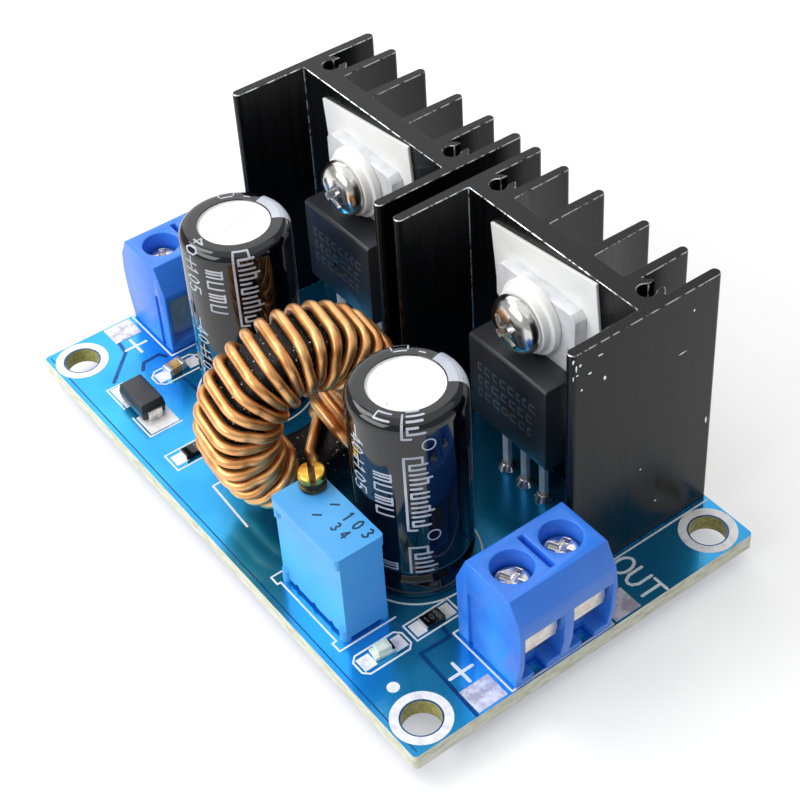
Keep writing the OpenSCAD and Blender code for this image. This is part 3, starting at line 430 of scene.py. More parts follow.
def makeChip(name, middle, ends, half, axis, rough=0.3):
    # fired chip with tinned ends: the bands follow the chip's own length, half is where an end begins
    nodeName, along = axis
    blur = 0.03
    low, high = [Vector(c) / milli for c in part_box(nodeName)]
    centre = (low[along] + high[along]) / 2
    material, tree, shader, where = startMaterial(name, {"Roughness": rough, "IOR": 1.5})
    place = addNode(tree, "ShaderNodeSeparateXYZ", links={0: where}).outputs[along]
    shifted = addNode(tree, "ShaderNodeMath", {"operation": "SUBTRACT"}, {0: place, 1: centre}).outputs[0]
    reach = addNode(tree, "ShaderNodeMath", {"operation": "ABSOLUTE"}, {0: shifted}).outputs[0]
    tin = addNode(tree, "ShaderNodeMapRange", links={
        "Value": reach, "From Min": half - blur, "From Max": half + blur}).outputs["Result"]
    shine = addNode(tree, "ShaderNodeMapRange", links={"Value": tin, "To Max": 0.8}).outputs["Result"]
    cloud = tinted(tree, where, [(0.35, middle[1]), (0.6, middle[0])], size=0.6)[0]
    tint = addNode(tree, "ShaderNodeMix", {"data_type": "RGBA"}, {
        0: tin, 6: cloud, 7: hexColour(ends)}).outputs[2]
    tree.links.new(tint, shader.inputs["Base Color"])
    tree.links.new(shine, shader.inputs["Metallic"])
    return material


mask = makeSolderMask()
trace = makeBuriedTrace()
# painted shade: the underside's mask is a darker, duller copy of the top's, so little light bounces under the board
# and the shadow there deepens
shadedMaskBelow = makePlastic("solderMaskBelowShaded", "#1272b4", "#0d5c98", 0.25, 1.5, 0.7, 0.01, 0.3)
laminate = makeGlassFibre()
holeWall = makeHoleWall()
solder = makeSolder()
plated = makePlatedPad()
testPad = makeTestPad()
ink = makeInk()
anodised = makeAnodised()
bareEdge = makeBareEdge()
tinned = makeSteel("tinnedCopper", "#dcdddf", "#b4b4b6", (0.22, 0.4))
tabTin = makeSteel("mattTin", "#e9eaec", "#d8dade", (0.5, 0.6), 0.2)
tinnedStrip = makeSteel("tinnedStrip", "#f2ece2", "#d8d0c4", (0.3, 0.45), 0.75)
bright = makeSteel("nickelledSteel", "#f0efec", "#d6d3cd", (0.14, 0.26))
bareAluminium = makeSteel("nickedAluminium", "#f4f5f6", "#d8dadd", (0.3, 0.4), 0.6)
brass = makeSteel("turnedBrass", "#f6d56a", "#d9ab42", (0.2, 0.32))
# painted shade: a near-black brass for the collar under the trimmer's slotted disc
shadedBrass = makeSteel("brassCollarPaintedShade", "#8a7440", "#3a3230", (0.3, 0.4), 0.8)
copper = makeCopper()
core = makeCore()
sleevePvc = makePlastic("shrinkSleeve", "#080a13", "#05060b", 0.07, 1.5, 2.2, 0.006, 0.3)
glaringCanTop = makeCanTop()
# painted highlight: the pressed score is near white and not metallic like the can top, so it carries the same painted
# glare
scoreTin = makeSteel("pressedScore", "#f6f6f8", "#ececf0", (0.4, 0.5), 0.0)
bungRubber = makePlastic("bungRubber", "#232220", "#171615", 0.6)
sleevePrint = makePlastic("sleevePrint", "#d3d8e2", "#aeb5c4", 0.3)
terminalNylon = makePlastic("terminalNylon", "#3b88f6", "#327dee", 0.32, 1.5, 0.3, 0.01, 0.1, 0.05)
trimmerNylon = makePlastic("trimmerNylon", "#59b6f9", "#4eacf4", 0.36, 1.5, 0.3, 0.01)
markInk = makePlastic("darkInk", "#14456e", "#0d3554", 0.5)
epoxy = makePlastic("mouldedEpoxy", "#34373c", "#282b30", 0.38, 1.5, 0.22, 0.02)
epoxyMark = makePlastic("laserMark", "#6a6c70", "#56585c", 0.5)
silicone = makePlastic("siliconeSheet", "#f3f3f2", "#e9e9e9", 0.5, 1.45, 0.5, 0.01, 0.0, 0.1)
bushNylon = makePlastic("bushNylon", "#fbfbfa", "#f0f0ee", 0.4, 1.5, 0.4, 0.01, 0.0, 0.15)
ceramic = makeChip("firedCeramic", ("#c8a468", "#a98647"), "#dfe0e4", 0.55, ("chip_capacitor", 1))
lampResin = makeChip("lampResin", ("#f4f8ea", "#cfe8d4"), "#e8e8ea", 0.95, ("indicator_lamp", 1), 0.2)
glazeIn = makeChip("resistorGlazeIn", ("#141418", "#0c0c0f"), "#dcdde0", 0.95, ("resistor_in", 1), 0.2)
glazeOut = makeChip("resistorGlazeOut", ("#141418", "#0c0c0f"), "#dcdde0", 0.95, ("resistor_out", 1), 0.2)
print("materials made")


def makeBoard():
    # faces are told apart by where they point
    form = cleanCopy("board")
    low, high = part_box("board")
    for face in form.faces:
        flat = abs(face.normal.z) > 0.9
        middle = face.calc_center_median()
        toEdge = min(middle.x - low.x, high.x - middle.x, middle.y - low.y, high.y - middle.y)
        edge = toEdge < 0.35 * milli
        below = face.normal.z < -0.9
        face.material_index = 3 if below else 0 if flat else 1 if edge else 2
    mesh = bpy.data.meshes.new("board.part")
    form.to_mesh(mesh)
    form.free()
    finishes = [mask, laminate, holeWall, shadedMaskBelow]
    addPiece("board.part", mesh, finishes, "module", "board", 30)


makeBoard()
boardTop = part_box("board")[1].z / milli
boardHigh = Vector(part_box("board")[1]) / milli


class Flat:
    # collects thin shapes that lie on a plane, in millimetres
    def __init__(self, height, thick):
        self.vertices = []
        self.faces = []
        self.height = height
        self.thick = thick
        self.count = 0

    def polygon(self, points):
        # a filled convex outline given a little thickness
        n, base = len(points), len(self.vertices)
        area = sum(a[0] * b[1] - b[0] * a[1] for a, b in zip(points, points[1:] + points[:1]))
        points = points if area > 0 else points[::-1]
        # five slightly different heights, so that shapes that overlap seldom share a plane
        top = self.height + self.thick + 0.0012 * (self.count % 5)
        self.count += 1
        self.vertices += [(x, y, self.height) for x, y in points]
        self.vertices += [(x, y, top) for x, y in points]
        self.faces.append(tuple(base + n + i for i in range(n)))
        self.faces.append(tuple(base + i for i in reversed(range(n))))
        for i in range(n):
            after = (i + 1) % n
            self.faces.append((base + i, base + after, base + n + after, base + n + i))

    def stroke(self, points, width, closed=False):
        # a pen line with round joints
        pairs = list(zip(points, points[1:])) + ([(points[-1], points[0])] if closed else [])
        for (x0, y0), (x1, y1) in pairs:
            length = math.hypot(x1 - x0, y1 - y0)
            if length < 1e-6:
                continue
            px, py = -(y1 - y0) / length * width / 2, (x1 - x0) / length * width / 2
            along = math.degrees(math.atan2(y1 - y0, x1 - x0))
            self.polygon(arcPoints(x1, y1, width / 2, along - 90, along + 90, 6)
                         + arcPoints(x0, y0, width / 2, along + 90, along + 270, 6))

    def run(self, points, width, gap=0.0, step=0.3):
        # a pen line in short lengths, with gaps where the print is dotted
        for (x0, y0), (x1, y1) in zip(points, points[1:]):
            count = max(1, math.ceil(math.hypot(x1 - x0, y1 - y0) / step))
            for k in range(count):
                ends = [(k + gap / 2) / count, (k + 1 - gap / 2) / count]
                self.stroke([(x0 + (x1 - x0) * t, y0 + (y1 - y0) * t) for t in ends], width)

    def patch(self, x0, x1, y0, y1, step=0.4):
        # a filled oblong in small squares, so it can follow a curve
        nx = max(1, math.ceil(abs(x1 - x0) / step))
        ny = max(1, math.ceil(abs(y1 - y0) / step))
        for i in range(nx):
            for j in range(ny):
                a, b = x0 + (x1 - x0) * i / nx, x0 + (x1 - x0) * (i + 1) / nx
                c, d = y0 + (y1 - y0) * j / ny, y0 + (y1 - y0) * (j + 1) / ny
                self.polygon([(a, c), (b, c), (b, d), (a, d)])

    def ring(self, x, y, inner, outer, a0=0, a1=360, steps=48):
        for i in range(steps):
            s, e = a0 + (a1 - a0) * i / steps, a0 + (a1 - a0) * (i + 1) / steps
            self.polygon(arcPoints(x, y, outer, s, e, 1) + arcPoints(x, y, inner, e, s, 1))

    def mesh(self, name, place=None):
        # place lays a point (x, y, height) somewhere else, such as round a can
        return meshFrom(name, [place(*v) for v in self.vertices] if place else self.vertices, self.faces)


strokeShapes = {
    "0": [[(0.1, 0.25), (0.1, 0.75), (0.3, 1), (0.5, 0.75), (0.5, 0.25), (0.3, 0), (0.1, 0.25)]],
    "1": [[(0.15, 0.8), (0.32, 1), (0.32, 0)]],
    "2": [[(0.08, 0.8), (0.3, 1), (0.52, 0.78), (0.08, 0), (0.55, 0)]],
    "3": [[(0.08, 0.9), (0.3, 1), (0.5, 0.78), (0.28, 0.53),
           (0.52, 0.26), (0.3, 0), (0.06, 0.12)]],
    "4": [[(0.42, 0), (0.42, 1), (0.05, 0.3), (0.58, 0.3)]],
    "5": [[(0.5, 1), (0.12, 1), (0.08, 0.55), (0.3, 0.62),
           (0.52, 0.42), (0.5, 0.15), (0.28, 0), (0.05, 0.12)]],
    "O": [[(0.35 + 0.33 * math.cos(math.radians(a)), 0.5 + 0.5 * math.sin(math.radians(a)))
           for a in range(0, 361, 24)]],
    "U": [[(0.05, 1), (0.05, 0.32), (0.18, 0.06), (0.34, 0), (0.5, 0.06), (0.63, 0.32), (0.63, 1)]],
    "T": [[(0, 1), (0.7, 1)], [(0.35, 1), (0.35, 0)]],
    "I": [[(0.3, 0), (0.3, 1)]],
    "N": [[(0.08, 0), (0.08, 1), (0.58, 0), (0.58, 1)]],
    "+": [[(0, 0.5), (0.9, 0.5)], [(0.45, 0.05), (0.45, 0.95)]],
    "-": [[(0.05, 0.5), (0.85, 0.5)]],
}


def write(flat, text, corner, along, height, pen, gap=0.85, dotted=0.0):
    # stroke lettering from a corner, running along a direction
    ax, ay = along
    length = math.hypot(ax, ay)
    ax, ay = ax / length, ay / length
    for index, letter in enumerate(text):
        for line in strokeShapes[letter]:
            placed = []
            for u, v in line:
                u, v = (u + index * gap) * height, v * height
                placed.append((corner[0] + u * ax - v * ay, corner[1] + u * ay + v * ax))
            flat.run(placed, pen, dotted)


silk = {   # pens, sizes and places of the board's print, in millimetres from the middle of the board
    "pen": 0.17, "signPen": 0.3, "letterPen": 0.28, "gapPen": 0.38, "thick": 0.012,
    "edge": 0.2, "terminalBack": 22.6, "houseMargin": 0.35, "testPad": 2.6, "signX": 26.2, "signArm": 1.15,
    "outAt": (25.3, 6.3), "outHigh": 2.15, "outPitch": 0.82, "inAt": (-29.0, 7.0), "inHigh": 2.1,
    "capRing": (5.6, 5.78), "dot": (23.9, -15.7, 0.55), "padHalf": (0.72, 0.62),
    "chips": [   # (x, y, half width, half length, cut corner) of each chip's outline
        (-20.5, -9.1, 1.15, 2.6, 0.6), (20.5, -14.3, 1.15, 2.5, 0.5),
        (20.35, -8.95, 1.0, 2.35, 0.0), (-9.7, -14.05, 1.2, 2.3, 0.0)],
    "diodePads": [(-22.1, -18.9), (-17.1, -14.2)], "diodePadY": (-15.8, -12.7),
    "diodeCorners": [[(-22.3, -14.3), (-22.3, -16.05), (-18.9, -16.05)],
                     [(-17.3, -16.05), (-14.0, -16.05), (-14.0, -12.6)]],
    "gaps": [   # lines where the copper areas part under the mask
        [(-27.7, -11.6), (-26.0, -11.8), (-22.9, -14.9)],
        [(-22.6, -11.8), (-23.5, -11.2), (-23.6, -9.4), (-22.9, -9.0)],
        [(-19.6, -9.3), (-16.6, -9.2)], [(21.6, -8.8), (22.7, -8.95), (22.6, -11.9), (30.3, -12.15)],
        [(5.4, 1.6), (9.4, 1.6), (11.0, -0.4)], [(18.6, 0.6), (20.6, 0.6), (22.0, 2.0)],
        [(-27.6, 5.8), (-24.6, 3.0)]],
    "copperEdge": (0.45, 0.5), "copperEdgePen": 0.12, "holes": (27.75, 15.75), "holeRing": (1.71, 1.84, 2.62)}
inkLayer = Flat(boardTop + 0.001, silk["thick"])
gapLayer = Flat(boardTop + 0.0005, 0.006)
padLayer = Flat(boardTop + 0.0002, 0.03)
testLayer = Flat(boardTop + 0.0002, 0.04)
outHouse = [Vector(c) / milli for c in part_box("terminal_housing_out")]
inHouse = [Vector(c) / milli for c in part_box("terminal_housing_in")]
trimmerBox = [Vector(c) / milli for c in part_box("trimmer_body")]


def oblong(layer, x0, x1, y0, y1):
    layer.polygon([(x0, y0), (x1, y0), (x1, y1), (x0, y1)])


def layTerminalMarks():
    # an outline, two test pads and a plus sign at each terminal, and the names of the two ends
    pen, limit, arm = silk["pen"], boardHigh.x - silk["edge"], silk["signArm"]
    for side, house in ((1, outHouse), (-1, inHouse)):
        back = side * silk["terminalBack"]
        y0, y1 = house[0].y - silk["houseMargin"], house[1].y + silk["houseMargin"]
        inkLayer.stroke([(side * limit, y0), (back, y0), (back, y1), (side * limit, y1)], pen)
        inkLayer.stroke([(side * limit, y0), (side * limit, y1)], pen)
        for low, high in ((y0 - 3.4, y0 - 0.45), (y1 + 0.35, y1 + 3.1)):
            oblong(testLayer, side * (limit - silk["testPad"]), side * limit, low, high)
        x, y = side * silk["signX"], y0 - 2.0
        inkLayer.stroke([(x - arm, y), (x + arm, y)], silk["signPen"])
        inkLayer.stroke([(x, y - arm), (x, y + arm)], silk["signPen"])
    write(inkLayer, "OUT", silk["outAt"], (1, 0), silk["outHigh"], silk["letterPen"], silk["outPitch"])
    write(inkLayer, "IN", silk["inAt"], (1, 0), silk["inHigh"], silk["letterPen"])


def layChip(x, y, dx, dy, cut):
    # outline with cut corners, and two tinned pads
    inkLayer.stroke([
        (x - dx, y - dy + cut), (x - dx + cut, y - dy), (x + dx - cut, y - dy), (x + dx, y - dy + cut),
        (x + dx, y + dy - cut), (x + dx - cut, y + dy), (x - dx + cut, y + dy), (x - dx, y + dy - cut)],
        silk["pen"], True)
    halfX, halfY = silk["padHalf"]
    for s in (-1, 1):
        c = y + s * (dy - 0.9)
        oblong(padLayer, x - halfX, x + halfX, c - halfY, c + halfY)


def layPartOutlines():
    # outlines at the trimmer, the capacitors, the coil, the OUT heatsink and the small parts
    pen = silk["pen"]
    x0, x1, y0, y1 = trimmerBox[0].x, trimmerBox[1].x, trimmerBox[0].y, trimmerBox[1].y
    inkLayer.stroke([
        (x0 - 0.5, y0 + 0.5), (x0 - 0.5, y0 - 0.7), (x0 + 0.5, y0 - 0.7), (x0 + 0.5, y0 - 0.35),
        (x1 - 0.7, y0 - 0.35), (x1 - 0.7, y0 - 0.75), (x1 + 0.35, y0 - 0.75), (x1 + 0.35, y1 + 0.2)], pen)
    for name in ("capacitor_sleeve_in", "capacitor_sleeve_out"):
        low, high = [Vector(c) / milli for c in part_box(name)]
        inkLayer.ring((low.x + high.x) / 2, (low.y + high.y) / 2, *silk["capRing"], 0, 360, 60)
    low = Vector(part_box("coil_winding")[0]) / milli
    inkLayer.stroke([(low.x - 0.6, 1.0), (low.x - 0.6, low.y + 2.6), (low.x + 5.6, low.y + 2.3)], pen + 0.04)
    # a line along the foot of the OUT heatsink
    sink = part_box("heatsink_out")[1].x / milli
    inkLayer.stroke([(sink + 0.35, 4.6), (sink + 0.35, boardHigh.y - 0.25)], pen)
    for chip in silk["chips"]:
        layChip(*chip)
    for a, b in silk["diodePads"]:
        oblong(padLayer, a, b, *silk["diodePadY"])
    for corner in silk["diodeCorners"]:
        inkLayer.stroke(corner, pen)
    # a dot beside the corner hole
    inkLayer.polygon(arcPoints(*silk["dot"], 0, 360, 23)[:-1])


def layCopperGaps():
    for line in silk["gaps"]:
        gapLayer.stroke(line, silk["gapPen"])
    # copper ends a little inside the sawn edge
    x, y = boardHigh.x - silk["copperEdge"][0], boardHigh.y - silk["copperEdge"][1]
    gapLayer.stroke([(-x, -y), (x, -y)], silk["copperEdgePen"])


def layHoleRings():
    # a tinned ring round each mounting hole, and bare laminate inside it
    holeX, holeY = silk["holes"]
    inner, middle, outer = silk["holeRing"]
    for sx in (-1, 1):
        for sy in (-1, 1):
            x, y = sx * holeX, sy * holeY
            padLayer.ring(x, y, middle, outer)
            gapLayer.ring(x, y, inner, middle)


layTerminalMarks()
layPartOutlines()
layCopperGaps()
layHoleRings()
for name, layer, finish, slotName in (
        ("board.lettering", inkLayer, ink, "circuit_board"), ("board.copperGaps", gapLayer, trace, "circuit_board"),
        ("board.pads", padLayer, plated, "solder"), ("board.testPads", testLayer, testPad, "solder")):
    addPiece(name, layer.mesh(name), finish, smooth=None)
print("board dressed")


for end in ("in", "out"):
    eased("heatsink_" + end, anodised, 0.07, 1, 32, bareEdge)
    eased("heatsink_pins_" + end, tinned, 0.1)
    eased("insulating_pad_" + end, silicone, 0.05)
    eased("insulating_bush_" + end, bushNylon, 0.12, 3, clamp=True)
    eased("fixing_screw_" + end, bright, 0.06, 2, 40, clamp=True)
for name in ("regulator", "diode"):
    eased(name + "_body", epoxy, 0.1, 2, 20)
    eased(name + "_leadframe", tabTin, 0.05, 1)


def markDevice(nodeName):
    # rows of plain grey bars where such a package carries its print
    low, high = [Vector(c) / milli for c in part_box(nodeName)]
    flat = Flat(0.001, 0.008)
    draw = random.Random(3)
    for row in range(3):
        x, z = low.x + 1.3, high.z - 3.3 - 1.5 * row
        while x < high.x - 2.0:
            wide = draw.uniform(0.3, 0.8)
            flat.run([(x, z), (x + wide, z)], 0.13)
            flat.run([(x, z + 0.7), (x + wide, z + 0.7)], 0.13)
            flat.run([(x, z), (x, z + 0.7)], 0.13)
            x += wide + 0.5
    front = low.y
    mesh = flat.mesh("marks", lambda u, v, h: (u, front - h, v))
    mesh.flip_normals()
    addPiece(nodeName + ".marks", mesh, epoxyMark, smooth=None)


markDevice("regulator_body")
markDevice("diode_body")

nicks = {"thick": 0.01, "sides": 7, "wall": [   # (y, z, length along z, width) on the OUT end's outer wall
    (2.6, 26.9, 0.5, 0.28), (2.9, 26.0, 0.9, 0.2), (3.3, 26.2, 0.35, 0.35), (4.3, 24.8, 0.3, 0.5),
    (5.9, 23.4, 0.5, 0.4), (3.5, 23.5, 0.3, 0.25), (2.6, 25.2, 0.7, 0.2), (3.0, 25.3, 0.25, 0.3),
    (14.4, 21.1, 0.15, 1.2), (15.4, 25.1, 0.4, 0.25), (17.7, 11.5, 0.9, 0.3), (5.4, 26.1, 0.2, 0.6),
    (10.2, 10.4, 0.2, 0.25), (12.1, 5.4, 0.3, 0.3)]}


def nickWall():
    # small bare spots on the outer wall
    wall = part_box("heatsink_out")[1].x / milli
    draw = random.Random(5)
    flat = Flat(0.002, nicks["thick"])
    for y, z, tall, wide in nicks["wall"]:
        corners = []
        for k in range(nicks["sides"]):
            a = 2 * math.pi * k / nicks["sides"]
            reach = draw.uniform(0.6, 1.0)
            corners.append((y + reach * wide / 2 * math.cos(a), z + reach * tall / 2 * math.sin(a)))
        flat.polygon(corners)
    mesh = flat.mesh("nicks", lambda u, v, h: (wall + h, u, v))
    addPiece("heatsink_out.nicks", mesh, bareAluminium, smooth=None)


nickWall()
print("heatsinks and power devices dressed")


coil = {   # the core and wire in millimetres, angles in degrees; shownWire leaves a hair between turns
    "coreOd": 17.0, "coreId": 9.8, "coreHeight": 5.5, "coreEdge": 1.0, "wire": 1.0, "shownWire": 0.98,
    "turns": 29, "gapAngle": 52, "yaw": -5.4, "steps": 6, "sides": 14, "ease": 0.4, "lay": 0.02,
    "leadAngle": -12, "leadSwing": 6}


def coilFrame():
    low, high = [Vector(c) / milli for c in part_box("coil_core")]
    centre = (low + high) / 2
    turn = Matrix.Rotation(math.radians(coil["yaw"]), 3, "Z")
    turn = turn @ Matrix.Rotation(math.radians(90), 3, "Y")
    return centre, turn


def coilLap(layer, step, rise):
    # one turn round the core's section, as (radius from the axis, height);
    # an odd turn lies further in
    n = coil["steps"]
    off = coil["wire"] / 2 + coil["lay"] + 0.3 * coil["ease"]
    out, face, inner = coil["coreOd"] / 2 + off, coil["coreHeight"] / 2 + off, coil["coreId"] / 2 - off
    bend = coil["coreEdge"] + coil["wire"] / 2 + coil["lay"] + coil["ease"]

    def corner(x, z, start, growX, growZ):
        return [(x + (bend + growX) * math.cos(math.radians(start + 90 * k / n)),
                 z + (bend + growZ) * math.sin(math.radians(start + 90 * k / n))) for k in range(n + 1)]

    return (corner(inner + bend, face - bend, 90, layer * step, layer * rise)
            + corner(inner + bend, bend - face, 180, layer * step, layer * rise)
            + corner(out - bend, bend - face, 270, 0, 0)
            + corner(out - bend, face - bend, 0, 0, 0)), out, face, inner


def coilPath():
    turnAngle = (360 - coil["gapAngle"]) / coil["turns"]
    out, face, inner = coilLap(0, 0, 0)[1:]
    reach = 2 * math.sin(math.radians(turnAngle / 2)) * (inner - 0.36 * coil["wire"])
    step = math.sqrt(max(0.01, (1.02 * coil["wire"]) ** 2 - reach ** 2))
    laps = [coilLap(layer, step, 0.55 * step)[0] for layer in (0, 1)]
    runs = []
    for lap in laps:
        lengths = [math.dist(a, b) for a, b in zip(lap, lap[1:] + lap[:1])]
        runs.append([sum(lengths[:i]) / sum(lengths) for i in range(len(lap))])
    count = len(laps[0])
    firstY = out * math.sin(math.radians(coil["leadAngle"]))
    lastY = -out * math.sin(math.radians(coil["gapAngle"] / 2))
    coreLow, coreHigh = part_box("coil_core")
    foot = (coreHigh.z + coreLow.z) / 2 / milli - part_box("coil_winding")[0].z / milli
    path = [(foot, firstY, face), (out + 0.6, firstY, face)]
    for t in range(coil["turns"]):
        for i in range(count if t < coil["turns"] - 1 else count // 2):
            a = coil["gapAngle"] / 2 + turnAngle * (t + runs[t % 2][i])
            if t == 0 and i <= coil["steps"]:
                a = coil["leadAngle"] + coil["leadSwing"] * i / coil["steps"]
            r, z = laps[t % 2][i]
            path.append((r * math.cos(math.radians(a)), r * math.sin(math.radians(a)), z))
    path += [(out + 0.6, lastY, -face), (foot, lastY, -face)]
    return [Vector(p) for p in path]


def smoothPath(points, parts=2):
    # a curve through the points, so the bends of the wire look round
    result = []
    for i in range(len(points) - 1):
        a, b = points[max(i - 1, 0)], points[i]
        c, d = points[i + 1], points[min(i + 2, len(points) - 1)]
        straight = (c - b).length > 2.4 
        for k in range(parts):
            t = k / parts
            if straight and i in (0, len(points) - 2):
                result.append(b.lerp(c, t))
                continue
            tangentB, tangentC = (c - a) * 0.5, (d - b) * 0.5
            tangentB *= min(1, (c - b).length / max(tangentB.length, 1e-9))
            tangentC *= min(1, (c - b).length / max(tangentC.length, 1e-9))
            result.append((2 * t ** 3 - 3 * t ** 2 + 1) * b + (t ** 3 - 2 * t ** 2 + t) * tangentB
                          + (-2 * t ** 3 + 3 * t ** 2) * c + (t ** 3 - t ** 2) * tangentC)
    result.append(points[-1])
    return result


def sweep(points, radius, sides):
    # a round tube along the points, with closed ends
    vertices, faces = [], []
    normal = None
    for i, p in enumerate(points):
        tangent = (points[min(i + 1, len(points) - 1)] - points[max(i - 1, 0)]).normalized()
        if normal is None:
            normal = tangent.orthogonal().normalized()
        normal = (normal - tangent * normal.dot(tangent)).normalized()
        across = tangent.cross(normal)
        for k in range(sides):
            a = 2 * math.pi * k / sides
            vertices.append(p + radius * (math.cos(a) * normal + math.sin(a) * across))
    for i in range(len(points) - 1):
        for k in range(sides):
            a, b = i * sides + k, i * sides + (k + 1) % sides
            faces.append((a, b, b + sides, a + sides))
    faces.append(tuple(reversed(range(sides))))
    faces.append(tuple(len(vertices) - sides + k for k in range(sides)))
    return vertices, faces


def makeCoil():
    centre, turn = coilFrame()
    points = [centre + turn @ p for p in smoothPath(coilPath())]
    vertices, faces = sweep(points, coil["shownWire"] / 2, coil["sides"])
    mesh = meshFrom("coil_winding.part", vertices, faces)
    addPiece("coil_winding.part", mesh, copper, "module", "coil_winding", 50)
    inner, outer = coil["coreId"] / 2, coil["coreOd"] / 2
    half, r = coil["coreHeight"] / 2, coil["coreEdge"]
    ring = (arcPoints(outer - r, half - r, r, 0, 90, 5) + arcPoints(inner + r, half - r, r, 90, 180, 5)
            + arcPoints(inner + r, -half + r, r, 180, 270, 5) + arcPoints(outer - r, -half + r, r, 270, 360, 5))
    ring.append(ring[0])
    vertices, faces = lathe(ring[::-1], (0, 0, 0), steps=96)
    vertices = [centre + turn @ v for v in vertices]
    mesh = meshFrom("coil_core.part", vertices, faces)
    addPiece("coil_core.part", mesh, core, "module", "coil_core", 50)


makeCoil()
print("coil wound")


capacitor = {"can": 10.0, "height": 20.3, "sleeve": 0.1, "crown": 0.9, "beadAt": 2.6, "bead": 0.45, "open": 3.35,
             "period": 10.4, "skin": 0.006}


def skinPoint(centre, across, up, height):
    # where a print point lies: across is millimetres round the sleeve, up runs on over the crown
    radius, crown = capacitor["can"] / 2 + capacitor["sleeve"], capacitor["crown"] + capacitor["sleeve"]
    shoulder = capacitor["height"] - crown
    a, lift = across / radius, height + capacitor["skin"]
    if up <= shoulder:
        r, z = radius + lift, up
    else:
        bend = min((up - shoulder) / crown, math.pi / 2)
        beyond = max(0.0, up - shoulder - crown * math.pi / 2)
        r = radius - crown + (crown + lift) * math.cos(bend) - beyond
        z = shoulder + (crown + lift) * math.sin(bend)
    return (centre.x + r * math.cos(a), centre.y + r * math.sin(a), centre.z + z)


def printSleeve(end, centre, turned):
    # generic print: temperature figures, a column of bars, a framed column of bars, and the pole stripe
    girth = math.radians(1) * (capacitor["can"] / 2 + capacitor["sleeve"])
    crown = capacitor["crown"] + capacitor["sleeve"]
    rim = capacitor["height"] - crown + crown * math.pi / 2   # where the crown turns flat
    top = rim + capacitor["can"] / 2 - capacitor["crown"] - capacitor["open"] - 0.08
    flat = Flat(0.0, 0.01)

    def column(angle):
        return (angle + turned) * girth

    for copy in range(3):
        high = 20.2 - 3.4 + 3.8 * (end == "in") - capacitor["period"] * (copy - 1)

        def down(text, angle, start, size, pen, pitch):
            # lettering that reads downwards
            for k, letter in enumerate(text):
                for line in strokeShapes[letter]:
                    points = [(column(angle) + v * size, start - (u + k * pitch) * size) for u, v in line]
                    if all(3.3 < y < top for x, y in points):
                        flat.run(points, pen)

        def bar(a0, a1, up, pen):
            if 3.3 < up < top:
                flat.run([(column(a0), up), (column(a1), up)], pen)

        down("-40+105", -99, high + 2.0, 1.5, 0.17, 0.72)
        for k in range(4):   # four short frames
            block = high - 2.0 - 1.35 * k
            for up in (block, block - 0.75) if k % 2 else (block - 0.1, block - 0.4, block - 0.8):
                bar(-71, -54, up, 0.19)
            if 3.5 < block - 0.8 and block < top:
                flat.run([(column(-71 if k % 2 else -54), block), (column(-71 if k % 2 else -54), block - 0.75)], 0.19)
        for low, up in ((high - 8.3, high),):
            for x0, y0, x1, y1 in ((-41, low, -41, up), (-41, up, -24, up), (-41, low, -33, low), (-24, up, -24, up - 0.8)):
                length = max(1, math.ceil(abs(y1 - y0) / 0.8))
                for k in range(length):
                    ya, yb = y0 + (y1 - y0) * k / length, y0 + (y1 - y0) * (k + 1) / length
                    if min(ya, yb) > 3.3 and max(ya, yb) < top:
                        flat.run([(column(x0), ya), (column(x1), yb)], 0.22)
            for k in range(14):
                reach = (-20, -22, -20, -16, -20, -26, -20)[k % 7]
                bar(-36, reach, up - 0.8 - 0.54 * k, 0.22)
                if k % 3 == 0 and 3.8 < up - 1.35 - 0.54 * k < top - 0.6:
                    side = column((-36, -20)[k % 2])
                    flat.run([(side, up - 0.8 - 0.54 * k), (side, up - 1.34 - 0.54 * k)], 0.22)
        if 3.8 < high - 9.0 < top - 1:
            flat.ring(column(-17), high - 9.2, 0.5, 0.62, 0, 360, 24)
    # rounded outlines on the crown
    for angle, wide in ((150, 1.4), (122, 0.7)):
        flat.run([(column(angle) - wide / 2, top - 0.4), (column(angle) + wide / 2, top - 0.4)], 0.16)
        if wide > 1:
            flat.run([(column(angle) - wide / 2, top - 1.4), (column(angle) + wide / 2, top - 1.4)], 0.16)
            for s in (-1, 1):
                flat.run([(column(angle) + s * (wide / 2 + 0.15), top - 0.6), (column(angle) + s * (wide / 2 + 0.15), top - 1.2)], 0.16)
    # the pole stripe runs over the crown, with dashes left black in it
    flat.patch(column(52), column(104), 19.6, top)
    for k in range(5):
        low = 3.4 + 3.3 * k
        flat.patch(column(52), column(104), low, low + 1.1)
        flat.patch(column(52), column(66), low + 1.1, low + 3.3)
        flat.patch(column(90), column(104), low + 1.1, low + 3.3)
    mesh = flat.mesh("print", lambda x, y, h: skinPoint(centre, x, y, h))
    addPiece("capacitor_sleeve_%s.print" % end, mesh, sleevePrint, smooth=None)


